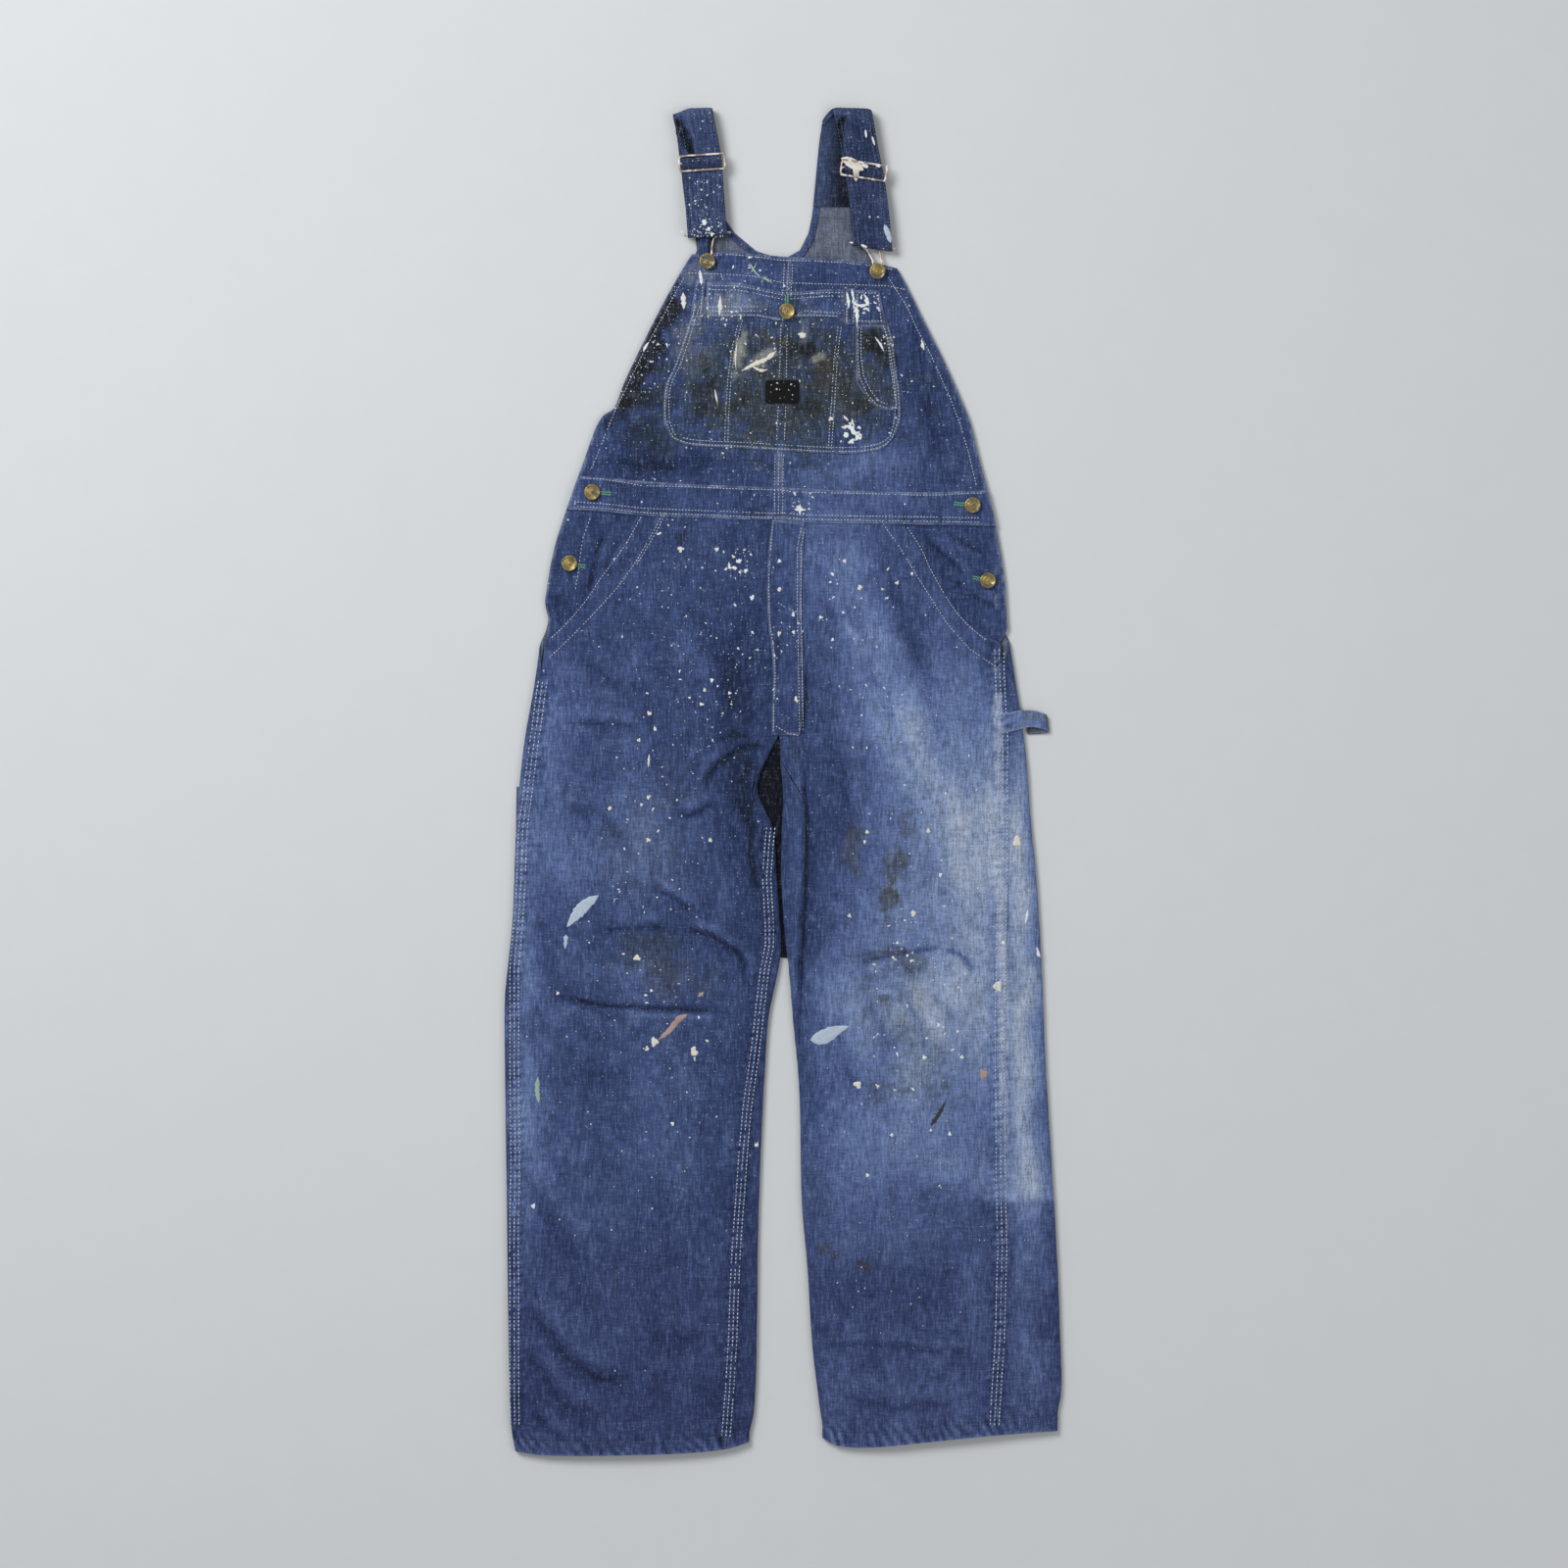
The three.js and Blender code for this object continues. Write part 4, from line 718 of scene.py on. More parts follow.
def denim_material(name):
    """Twill coloured by the cloth's points, with slubs, crossing weft, pale worn threads and specks."""
    g = Graph(name)
    base = g.node("ShaderNodeAttribute", attribute_name="base").outputs["Color"]
    slub = g.noise(1.8, 3, stretch=(1, 7, 1))
    weft = g.noise(1.7, 2, stretch=(7, 1, 1))
    fuzz = g.noise(1.5, 2)
    grain = g.math("ADD", g.math("MULTIPLY", slub, 0.5), g.math("MULTIPLY", g.math("ADD", fuzz, weft), 0.25))
    clouds = g.span(g.noise(15, 3), 0.35, 0.65, 0.93, 1.07)
    runs = g.span(g.noise(9, 2, stretch=(1, 9, 1)), 0.35, 0.65, 0.94, 1.06)
    dark = g.math("MULTIPLY", g.span(grain, 0.36, 0.60, 0.42, 1.28), g.math("MULTIPLY", clouds, runs))
    twill = g.node("ShaderNodeTexWave", {
        "Vector": g.place, "Scale": 200, "Distortion": 1.2, "Detail Scale": 2.0},
        bands_direction="DIAGONAL").outputs["Fac"]
    colour = g.vector("MULTIPLY", base, g.math("MULTIPLY", dark, g.span(twill, 0, 1, 0.94, 1.06)))
    worn = g.span(grain, 0.52, 0.70, 0, 0.34)
    colour = g.blend(g.math("MULTIPLY", worn, 0.8), colour, WORN_THREADS)
    thick = g.node("ShaderNodeAttribute", attribute_name="specks").outputs["Fac"]
    large, small = speck_mask(g, 8.5, 0.3, 0.95, 0.34, thick), speck_mask(g, 3.6, 0.2, 0.5, 0.42, thick)
    seen = g.math("MAXIMUM", large, small)
    colour = g.blend(g.math("MULTIPLY", seen, 0.88), colour, SPECKS)
    g.feed(g.shader.inputs["Base Color"], colour)
    g.feed(g.shader.inputs["Roughness"], g.span(fuzz, 0.3, 0.7, 0.82, 0.98))
    g.shader.inputs["Specular IOR Level"].default_value = 0.15
    g.shader.inputs["Sheen Weight"].default_value = 0.08
    g.bump(g.math("ADD", g.math("MULTIPLY", grain, 1.4), g.math("MULTIPLY", twill, 0.25)), 0.5, 0.8)
    return g.material


def plain_material(name, colour, roughness, size_mm, contrast, metallic=0.0, depth_mm=0.3, patch=None):
    """A coloured surface with a mottled tone, roughness and grain; patch is a second colour in spots."""
    g = Graph(name)
    grain, cloud = g.noise(size_mm, 3), g.noise(size_mm * 5, 3)
    tone = g.blend(g.span(grain, 0.3, 0.7, 0, 1), tuple(c * (1 - contrast) for c in colour) + (1,),
                   tuple(min(1, c * (1 + contrast)) for c in colour) + (1,))
    metal = metallic
    if patch:
        spots = g.span(cloud, 0.50, 0.56, 0, 1)
        tone = g.blend(spots, tone, patch + (1,))
        metal = g.math("MULTIPLY", g.math("SUBTRACT", 1.0, spots), metallic) if metallic else metallic
    g.feed(g.shader.inputs["Base Color"], tone)
    g.feed(g.shader.inputs["Metallic"], metal)
    g.feed(g.shader.inputs["Roughness"], g.span(cloud, 0.3, 0.7, roughness - 0.08, roughness + 0.08))
    g.bump(grain, depth_mm, 0.6)
    return g.material


def srgb(*rgb):
    return tuple(float(c) for c in linear(rgb))


DENIM = denim_material("washed_denim")
THREAD = plain_material("cream_thread", srgb(200, 204, 206), 0.9, 5, 0.35)
SEAM_THREAD = plain_material("seam_thread", srgb(172, 182, 200), 0.9, 7, 0.45)
DIM_THREAD = plain_material("dim_thread", srgb(92, 102, 128), 0.9, 5, 0.4)
GREEN_THREAD = plain_material("green_thread", srgb(98, 160, 124), 0.85, 1.0, 0.35)
BRASS = plain_material("aged_brass", srgb(160, 142, 92), 0.42, 1.4, 0.4, 0.85, 0.2, srgb(92, 84, 64))
WIRE_METAL = plain_material("dull_wire", srgb(176, 158, 148), 0.42, 1.4, 0.3, 0.7, 0.15, srgb(226, 220, 214))
BLACK_PATCH = plain_material("black_patch", srgb(14, 14, 16), 0.85, 1.1, 0.5)
BLACK_PATCH.node_tree.nodes["Principled BSDF"].inputs["Specular IOR Level"].default_value = 0.2
STRAP_CAST = np.array([1.0, 0.95, 0.86])
LINING, LINING_SHADE, SHADOW = linear((58, 72, 104)), linear((20, 24, 38)), linear((13, 15, 27))
INNER_FACE = linear((94, 101, 117))
PALE_RIM = linear((150, 163, 190))
PAINTS = {
    "cream": plain_material("cream_paint", srgb(210, 207, 196), 0.5, 3, 0.08, depth_mm=0.2),
    "white": plain_material("white_paint", srgb(216, 221, 222), 0.5, 3, 0.07, depth_mm=0.2),
    "blue": plain_material("pale_blue_paint", srgb(168, 182, 198), 0.55, 3, 0.1, depth_mm=0.2),
    "green": plain_material("pale_green_paint", srgb(140, 166, 150), 0.55, 3, 0.1, depth_mm=0.2),
    "tan": plain_material("tan_paint", srgb(160, 136, 128), 0.6, 3, 0.12, depth_mm=0.2),
    "black": plain_material("black_paint", srgb(34, 34, 38), 0.6, 3, 0.15, depth_mm=0.2),
}


# ------------------------------------------------------------------ trousers: panels of a flattened tube
class Tube:
    """A leg, the body or the back: outer face of a flattened tube, at a distance along the cloth."""

    def __init__(self, left, right, hem):
        self.left, self.right, self.hem = left, right, hem

    def wide(self, y):
        """Width of the flat part between the folds."""
        return self.right(y) - self.left(y) - 2 * FOLD

    def girth(self, y):
        """Distance once round the tube."""
        return 2 * self.wide(y) + 2 * BEND

    def reach(self, y, x):
        """Distance along the cloth, from the left fold, of a point of the front."""
        return x - self.left(y) - FOLD

    def slanted(self, x, y):
        """The level moved to follow the slanting hem and waist."""
        near_hem = 1 - smooth(0, 130, y - HEM)
        near_waist = 1 - smooth(0, 130, np.abs(WAIST - y))
        return y + (self.hem(x) - HEM) * near_hem + (WAIST_LINE(x) - WAIST) * near_waist

    def at(self, y, along):
        """Points at a level and a distance along the cloth: the front, a fold, the back, the other fold."""
        a, b, wide = self.left(y) + FOLD, self.right(y) - FOLD, self.wide(y)
        u = np.mod(along, self.girth(y))
        turn_right, turn_left = (u - wide) / FOLD, math.pi + (u - 2 * wide - BEND) / FOLD
        on_top, on_right = u <= wide, u < wide + BEND
        on_back = ~on_right & (u <= 2 * wide + BEND)
        turn = np.where(on_right, turn_right, turn_left)
        round_fold = np.where(on_right, b, a) + FOLD * np.sin(turn)
        x = np.where(on_top, a + u, np.where(on_back, b - (u - wide - BEND), round_fold))
        slanted = self.slanted(x, y)
        share = np.where(on_top, 1.0, np.where(on_back, 0.0, (1 + np.cos(turn)) / 2))
        low = np.where(on_back, 0.0, FOLD + FOLD * np.cos(turn))
        relief = np.maximum(wrinkled(np.clip(x, a, b), slanted)[0], -2.5)
        z = np.where(on_top, smooth_top(x, slanted), low) + relief * share
        z = z + np.where(z < FOLD, under_lift(x, y) * (1 - z / FOLD), 0)
        return np.stack([x, slanted, z], -1)


RULE_POCKET = {"left": -285.5, "right": -224, "low": -188, "high": -5}


def under_lift(x, y):
    """How far the back is raised where it lies on the rule pocket."""
    p = RULE_POCKET
    return (LAYER * (1 - smooth(p["right"] + 6, p["right"] + 50, x))
            * smooth(p["low"] - 50, p["low"] - 6, y) * (1 - smooth(p["high"] + 6, p["high"] + 50, y)))


RIGHT_LEG, LEFT_LEG = Tube(OUTER_R, INNER_R, HEM_R), Tube(INNER_L, OUTER_L, HEM_L)
BODY = Tube(OUTER_R, OUTER_L, HEM_R)
BACK_ONLY = Tube(lambda y: OUTER_R(y) - 40, lambda y: OUTER_L(y) + 40, HEM_R)
WEB = (38, 50)  # the legs become one body between these levels
SHIRT = (WAIST, 330)  # and the body's back becomes the bib's back between these


def inseam_gap(y):
    """Half the space between two panels along the inseam, wider at the crotch and the knee."""
    return (GAP / 2 + 0.7 * smooth(-30, 0, y) * (1 - smooth(40, 60, y))
            + 0.35 * smooth(-400, -380, y) * (1 - smooth(-290, -260, y)))


def opened(y):
    """How far the outseam has moved to the back's folded edge, up to the pocket mouths."""
    return smooth(118, 172, y)


def front_right(tube, y):
    start = np.where(y <= 150, 1.5, tube.reach(y, SLASH_R(y))) + GAP / 2
    end = np.where(y < CROTCH, tube.wide(y) - REACH_R(y), tube.reach(y, CENTRE_FRONT(y))) - inseam_gap(y)
    return start, end


def front_left(tube, y):
    start = np.where(y < CROTCH, REACH_L(y), tube.reach(y, CENTRE_FRONT(y))) + inseam_gap(y)
    end = tube.reach(y, np.where(y <= 150, OUTSEAM_L(y), SLASH_L(y))) - GAP / 2
    return start, end


def back_right(tube, y):
    under = lambda x: -BEND - tube.reach(y, x)
    centre = np.where(y > NECK, NECK_R(y), CENTRE_BACK(y))
    start = np.where(y < CROTCH, tube.wide(y) - REACH_R(y) - tube.girth(y), under(centre)) + inseam_gap(y)
    side = np.where(y <= WAIST, mix(1.5, -BEND - 2, opened(y)), under(BACK_SIDE_R(y)))
    return start, side - GAP / 2


def back_left(tube, y):
    under = lambda x: tube.girth(y) - BEND - tube.reach(y, x)
    centre = np.where(y > NECK, NECK_L(y), CENTRE_BACK(y))
    lower = mix(tube.reach(y, OUTSEAM_L(y)), tube.wide(y) + BEND + 2, opened(y))
    start = np.where(y <= WAIST, lower, under(BACK_SIDE_L(y))) + GAP / 2
    end = np.where(y < CROTCH, REACH_L(y) + tube.girth(y), under(centre)) - inseam_gap(y)
    return start, end


def panel(leg, ends, levels, stops):
    """Grid of a panel's outer face. ends gives where each row starts and stops; stops runs from 0 to 1."""
    def rows(tube, y):
        y = np.asarray(y, float)[:, None]
        start, end = ends(tube, y)
        return tube.at(y, start + (end - start) * stops[None, :])

    tubes = ((leg, -math.inf, WEB[0]), (BODY, WEB[1], SHIRT[0]), (BACK_ONLY, SHIRT[1], math.inf))
    parts = []
    for tube, low, high in tubes:
        inside = levels[(levels >= low) & (levels <= high)]
        if len(inside):
            parts.append(rows(tube, inside))
    joined = [parts[0]]
    for part, (low, high) in zip(parts[1:], (WEB, SHIRT)):
        first, last = joined[-1][-1], part[0]
        count = max(2, round((high - low) / FINE))
        joined.append(np.stack([mix(first, last, k / count) for k in range(1, count)]))
        joined.append(part)
    return np.concatenate(joined)


def levels_to(top_level, step):
    """Levels of a panel's rows from the hem up, with one on each level where its form changes."""
    marks = sorted({m for m in (HEM, *WEB, *SHIRT, NECK, top_level) if m <= top_level})
    out = [marks[0]]
    for a, b in zip(marks[:-1], marks[1:]):
        out.extend(np.linspace(a, b, max(1, math.ceil((b - a) / step)) + 1)[1:])
    return np.array(out)


def add_specks(obj, p, thickness=1.0):
    """How thick the white specks lie: most on the bib and the right hip, few below the knees."""
    x, y = p[..., 0], p[..., 1]
    thick = (0.12 + 0.22 * smooth(120, 360, y) + 0.35 * blob(x, y, -70, 120, 80, 150, 0)
             + 0.8 * blob(x, y, -140, 470, 40, 90, -25) + 0.6 * blob(x, y, 0, 510, 110, 22, 0)
             + 0.4 * blob(x, y, 0, 440, 110, 60, 0)
             + 0.25 * blob(x, y, 130, -190, 80, 110, 0) + 0.2 * blob(x, y, -120, -250, 90, 120, 0)
             - 0.1 * smooth(-350, -600, y)) * (0.7 + 0.7 * layered(x, y, 45, 91)) * thickness
    values = np.clip(thick, 0, 1).ravel()
    attribute = obj.data.attributes.new("specks", "FLOAT", "POINT")
    full = np.zeros(len(obj.data.vertices))
    full[:len(values)] = values
    attribute.data.foreach_set("value", full)


def cloth(name, p, flat, area, rests=(), closed=False, thickness=1.1, offset=0.0, inner=INNER_FACE,
          held="laid", specks=1.0, extra=None, stands_for_node=True):
    """A cloth piece over the CAD node of its name; its cut size is not used."""
    x, y = p[..., 0], p[..., 1]
    colours = denim_colour(x, y, wrinkled(x, y)[1], offset)
    if extra is not None:
        colours = extra(p, colours)
    obj = wall(f"{name}_cloth", p, colours, inner, DENIM, thickness, closed)
    add_specks(obj, p, specks)
    if stands_for_node:
        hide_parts(name)


for name, leg, ends, area in (
        ("right_front", RIGHT_LEG, front_right, 0.249), ("left_front", LEFT_LEG, front_left, 0.2125)):
    grid = panel(leg, ends, levels_to(WAIST, FINE), np.linspace(0, 1, 130))
    cloth(name, grid, (1.0, 0.30), area, ("floor",))
for name, leg, ends, top_level, area in (
        ("right_back", RIGHT_LEG, back_right, SHOULDER_R, 0.333),
        ("left_back", LEFT_LEG, back_left, SHOULDER_L, 0.345)):
    grid = panel(leg, ends, levels_to(top_level, 5), np.linspace(0, 1, 110))
    crease = 0.18 * layered(grid[..., 0], grid[..., 1], (9, 30), 121)[..., None]
    cloth(name, grid, (1.34, 0.36), area, ("floor",), inner=INNER_FACE * (1 + crease))


# ------------------------------------------------------------------ pieces laid on the front
ROLL = 0.55  # drop of a laid piece's rim


def laid(low, high, left, right, raised, step=2.6, sides=(True, True, True, True)):
    """Grid of a flat piece: low and high edges are y at each x, left and right edges are x at each y.

    sides says which of the low, high, left and right rims are rolled down.
    """
    def edge(side, t):
        x = np.zeros_like(t)
        for _ in range(14):
            x = mix(x, side(mix(low(x), high(x), t)), 0.8)
        return x

    tall = float(high(0.0) - low(0.0))
    t0 = np.array([0.5])
    broad = float((edge(right, t0) - edge(left, t0))[0])

    def spaced(length):
        rim = min(1.1 / length, 0.2)
        count = max(3, round(length / step))
        return np.concatenate([[0], np.linspace(rim, 1 - rim, count), [1]])

    t, s = spaced(tall), spaced(broad)
    a, b = edge(left, t)[:, None], edge(right, t)[:, None]
    x = mix(a, b, s[None, :])
    y = mix(low(x), high(x), t[:, None])
    z = top(x, y) + raised
    drop = np.zeros(z.shape)
    below, above, before, after = sides
    drop[0] += ROLL * below
    drop[-1] += ROLL * above
    drop[:, 0] += ROLL * before
    drop[:, -1] += ROLL * after
    return np.stack([x, y, z - np.minimum(drop, ROLL * 1.3)], -1)


def shifted(line, by):
    return lambda v: line(v) + by


def level(value):
    return lambda v: np.full(np.shape(v), float(value))


def rim_wear(strength=0.8):
    """Pale worn edge: brighter within a millimetre or two of the piece's rim, broken by noise."""
    def wear(p, colours):
        m, n = p.shape[:2]
        i, j = np.minimum(np.arange(m), np.arange(m)[::-1]), np.minimum(np.arange(n), np.arange(n)[::-1])
        near = np.minimum(i[:, None], j[None, :])
        pale = np.where(near <= 1, 1.0, 0.0) * strength * (0.5 + 0.6 * layered(p[..., 0], p[..., 1], 7, 95))
        return mix(colours, PALE_RIM, np.clip(pale, 0, 1)[..., None] * 0.55)
    return wear


def inside_fold(y):
    """How far in from the right outer edge the hip piece starts."""
    return (FOLD + 3) * (1 - smooth(168, 196, y))


def inside_strip(y):
    """How far in from the left outer edge the hip piece ends."""
    return (FOLD + 11) * (1 - smooth(140, 168, y))


BIB = {"low": WAIST_LINE, "high": BIB_TOP, "raised": 0.0, "step": 2.8}
LAID = {  # name: grid settings, then cloth settings
    "right_hip": (dict(low=level(122), high=shifted(WAIST_LINE, -GAP), raised=-LAYER,
                       left=lambda y: OUTER_R(y) + inside_fold(y), right=shifted(SLASH_R, 45)),
                  dict(flat=(0.19, 0.12), offset=-0.35)),
    "left_hip": (dict(low=level(122), high=shifted(WAIST_LINE, -GAP), raised=-LAYER,
                      left=shifted(SLASH_L, -45), right=lambda y: OUTER_L(y) - inside_strip(y)),
                 dict(flat=(0.19, 0.13), offset=-0.3)),
    "fly": (dict(low=level(50), high=shifted(WAIST_LINE, -3 - GAP), raised=LAYER + 0.2, left=FLY_LEFT,
                 right=FLY_RIGHT, sides=(True, False, True, True)), dict(flat=(0.24, 0.045))),
    "waistband": (dict(low=shifted(WAIST_LINE, -3), high=BAND_TOP, left=OUTER_R, right=OUTER_L, raised=LAYER),
                  dict(flat=(0.47, 0.037))),
    "right_bib": (dict(BIB, left=OUTER_R, right=shifted(BIB_CENTRE, -HALF), sides=(False, True, True, False)),
                  dict(flat=(0.29, 0.24))),
    "left_bib": (dict(BIB, left=shifted(BIB_CENTRE, HALF), right=OUTER_L, sides=(False, True, False, True)),
                 dict(flat=(0.29, 0.24))),
    "bib_facing": (dict(low=shifted(BIB_TOP, -21), high=shifted(BIB_TOP, -0.6), left=shifted(OUTER_R, 2),
                        right=shifted(OUTER_L, -2), raised=-LAYER), dict(flat=(0.24, 0.021))),
    "bib_pocket": (dict(low=POCKET_LOW, high=POCKET_HIGH, left=POCKET_LEFT, right=POCKET_RIGHT, raised=LAYER),
                   dict(flat=(0.255, 0.165))),
    "pocket_band": (dict(low=PBAND_LOW, high=PBAND_HIGH, left=level(-82), right=level(66), raised=2 * LAYER),
                    dict(flat=(0.148, 0.037))),
    "pencil_strip": (dict(low=level(488), high=level(538), left=curve((488, -101), (538, -93)),
                          right=curve((488, -87.5), (538, -82.5)), raised=2 * LAYER),
                     dict(flat=(0.05, 0.0135))),
    "flap_strip": (dict(low=level(489), high=level(528), left=level(66.5), right=level(77), raised=2 * LAYER),
                   dict(flat=(0.039, 0.0105))),
    "corner_flap": (dict(low=level(490), high=level(526), left=level(77.5),
                         right=curve((490, 110), (526, 103)), raised=2 * LAYER),
                    dict(flat=(0.036, 0.033))),
    "watch_pocket": (dict(low=WATCH_LOW, high=level(489.4), left=level(77.5), right=WATCH_RIGHT,
                          raised=2 * LAYER),
                     dict(flat=(0.091, 0.046))),
}


def area_of(p):
    """Area of a grid of points in millimetres, in square metres."""
    a, b = p[1:, :-1] - p[:-1, :-1], p[:-1, 1:] - p[:-1, :-1]
    c, d = p[1:, :-1] - p[1:, 1:], p[:-1, 1:] - p[1:, 1:]
    return sum(np.linalg.norm(np.cross(*pair), axis=-1).sum() for pair in ((a, b), (c, d))) / 2e6


for name, (shape, settings) in LAID.items():
    grid = laid(**shape)
    area = min(area_of(grid), settings["flat"][0] * settings["flat"][1])
    cloth(name, grid, area=area, extra=rim_wear(), **settings)


# ------------------------------------------------------------------ height of whatever lies on top
def height_at(x, y):
    """Height of the front's upper face at one point, with no wrinkles."""
    return float(smooth_top(np.array(float(x)), np.array(float(y))))


def inside_piece(name, x, y):
    """Whether each point is within a laid piece's edges."""
    shape = LAID[name][0]
    return ((y > shape["low"](x)) & (y < shape["high"](x)) & (x > shape["left"](y)) & (x < shape["right"](y)))


def surface(x, y):
    """Height of the uppermost cloth at a point."""
    x, y = np.asarray(x, float), np.asarray(y, float)
    raised = np.zeros(np.broadcast(x, y).shape)
    hips = (y > 150) & (y < WAIST) & ((x < SLASH_R(y)) | (x > SLASH_L(y)))
    raised = np.where(hips, -LAYER, raised)
    for name in ("fly", "waistband", "bib_pocket", "pocket_band", "pencil_strip", "flap_strip",
                 "corner_flap", "watch_pocket"):
        raised = np.where(inside_piece(name, x, y), LAID[name][0]["raised"], raised)
    return top(x, y) + raised


# ------------------------------------------------------------------ stitches
class Stitches:
    """Short rounded threads laid along lines, gathered into one mesh."""

    SIDES, WANDER, MISSING = 5, 0.3, 0.04

    def __init__(self, name, material, width=0.82, rise=0.16):
        self.name, self.material, self.width, self.rise = name, material, width, rise
        self.verts, self.faces = [], []
        self.random = np.random.default_rng(sum(map(ord, name)))

    def one(self, start, end):
        """One stitch: a rounded thread pointed at both ends."""
        a, b = np.array(start), np.array(end)
        ahead = b - a
        ahead /= max(np.linalg.norm(ahead), 1e-6)
        side = np.cross(ahead, (0, 0, 1.0))
        side /= max(np.linalg.norm(side), 1e-6)
        over = np.cross(side, ahead)
        k = len(self.verts)
        r = self.width / 2
        self.verts.append(a)
        for t in (0.22, 0.78):
            middle = a + (b - a) * t
            for n in range(self.SIDES):
                angle = 2 * math.pi * n / self.SIDES
                self.verts.append(middle + r * (side * math.cos(angle) + over * 0.7 * math.sin(angle)))
        self.verts.append(b)
        n = self.SIDES
        for i in range(n):
            j = (i + 1) % n
            self.faces.append((k, k + 1 + j, k + 1 + i))
            self.faces.append((k + 1 + i, k + 1 + j, k + 1 + n + j))
            self.faces.append((k + 1 + i, k + 1 + n + j, k + 1 + n + i))
            self.faces.append((k + 1 + 2 * n, k + 1 + n + i, k + 1 + n + j))

    def along(self, points, offset=0.0, pitch=3.4, length=2.3, height=None):
        """Stitches along a polyline shifted sideways (positive to its left), a few of them missing."""
        p = np.array(points, float)
        run = distances(p)
        at = np.arange(0.4, run[-1] - length * 0.6, pitch)
        at = at + self.random.uniform(-0.25, 0.25, len(at))
        ends = []
        for shift in (0, length):
            d = np.minimum(at + shift, run[-1])
            x, y = np.interp(d, run, p[:, 0]), np.interp(d, run, p[:, 1])
            before, after = np.maximum(d - 2.0, 0), np.minimum(d + 2.0, run[-1])
            tx, ty = (np.interp(after, run, p[:, k]) - np.interp(before, run, p[:, k]) for k in (0, 1))
            size = np.maximum(np.hypot(tx, ty), 1e-6)
            drift = offset + self.WANDER * noise(d, np.full_like(d, offset), 25, 97)
            x, y = x - ty / size * drift, y + tx / size * drift
            z = (surface(x, y) if height is None else height(x, y)) + self.rise
            ends.append(np.stack([x, y, z], -1))
        for a, b in zip(*ends):
            if self.random.random() > self.MISSING:
                self.one(a, b)

    def make(self):
        obj = new_object(self.name, np.array(self.verts), self.faces, material=self.material, sharp=None)


def trace(line, low, high, step=6, upright=True):
    """Points of a curve: x at each y, or y at each x when not upright."""
    v = np.linspace(low, high, max(2, round(abs(high - low) / step)))
    other = line(v)
    return list(zip(other, v)) if upright else list(zip(v, other))


seam_thread = Stitches("seam_stitches", SEAM_THREAD, width=1.35)
for points, width in SEAMS.values():
    for offset in (-width + 1.2, 0.0, width - 1.2):
        seam_thread.along(points, offset, pitch=4.2, length=3.0)
trouser_thread = Stitches("trouser_stitches", THREAD)
hem_thread = Stitches("hem_stitches", DIM_THREAD)
for x0, x1, hem in ((-286, -38, HEM_R), (44, 296, HEM_L)):
    hem_thread.along(trace(shifted(hem, 14.2), x0, x1, upright=False), pitch=3.8)
SLASH_ROW_R = [(-130, 286), (-137, 270), (-150, 248), (-162, 228), (-177, 208), (-195, 188), (-214, 168),
               (-232, 150), (-250, 133)]
SLASH_ROW_L = [(105, 279), (124, 252), (150, 210), (175, 170), (200, 142), (227, 124)]
for row, mouth, first, last, inward in (
        (SLASH_ROW_R, SLASH_R, 154, 284, 2.6), (SLASH_ROW_L, SLASH_L, 152, 280, -2.6)):
    trouser_thread.along(row)
    trouser_thread.along(trace(shifted(mouth, inward), first, last))
trouser_thread.along([(point[0] + 4.6, point[1] + 2.6) for point in SLASH_ROW_R[:4]])
FLY_ROW = [(21, 272), (17, 250), (17, 188), (18, 135), (19, 80), (19, 53)]
trouser_thread.along(FLY_ROW, -1.6)
trouser_thread.along(FLY_ROW, 2.2)
trouser_thread.along(trace(shifted(FLY_LEFT, 2.0), 54, 280))
trouser_thread.along([(-6, 192), (4, 186), (16, 181)])
trouser_thread.along([(-8, 60), (6, 52), (17, 50)])
trouser_thread.along([(-222, 206), (-214, 262), (-206, 284)], pitch=4.2)

upper_thread = Stitches("bib_stitches", THREAD)
BAND_ROW = [(-224, 300), (-196, 298), (-150, 293), (-108, 291), (-51, 289), (-11, 287), (0, 287.5),
            (20, 285.5), (100, 284), (210, 282.5)]
BIB_ROWS = [  # top facing, then the two side edges
    [(-92, 562), (-60, 564.5), (-30, 562), (0, 558), (30, 557.5), (60, 556), (90, 553), (117, 548.5)],
    [(-102, 545), (-60, 543), (-30, 541), (0, 534), (40, 533), (80, 532), (110, 531), (131, 527)],
    [(112, 541), (132, 510), (143, 486), (157, 460), (172, 426), (179, 411), (190, 382), (198, 354),
     (203, 332), (207, 316)],
    [(-106, 540), (-125, 505), (-148, 462), (-165, 428), (-181, 394), (-200, 347), (-207, 332)],
]
upper_thread.along([
    (-214, 325), (-196, 324.5), (-174, 321), (-150, 317), (-108, 316), (-51, 313.5), (0, 312), (9, 310),
    (50, 309), (100, 308), (150, 306.5), (175, 307), (200, 309), (213, 309)])
upper_thread.along(BAND_ROW)
upper_thread.along(BAND_ROW, -4.6)
for row in BIB_ROWS:
    upper_thread.along(row)
for low, high in ((286, 352), (521, 556)):
    for offset in (-4.4, 0.0, 4.4):
        upper_thread.along(trace(BIB_CENTRE, low, high), offset + 1)


def inner_rim(inset):
    """The pocket's outline, in from its edge."""
    left = trace(shifted(POCKET_LEFT, inset), 515 - inset, 386)
    low = trace(shifted(POCKET_LOW, inset), -119 + inset * 0.4, 118 - inset * 0.4, upright=False)
    right = trace(shifted(POCKET_RIGHT, -inset), 386, 488)
    return left + low + right


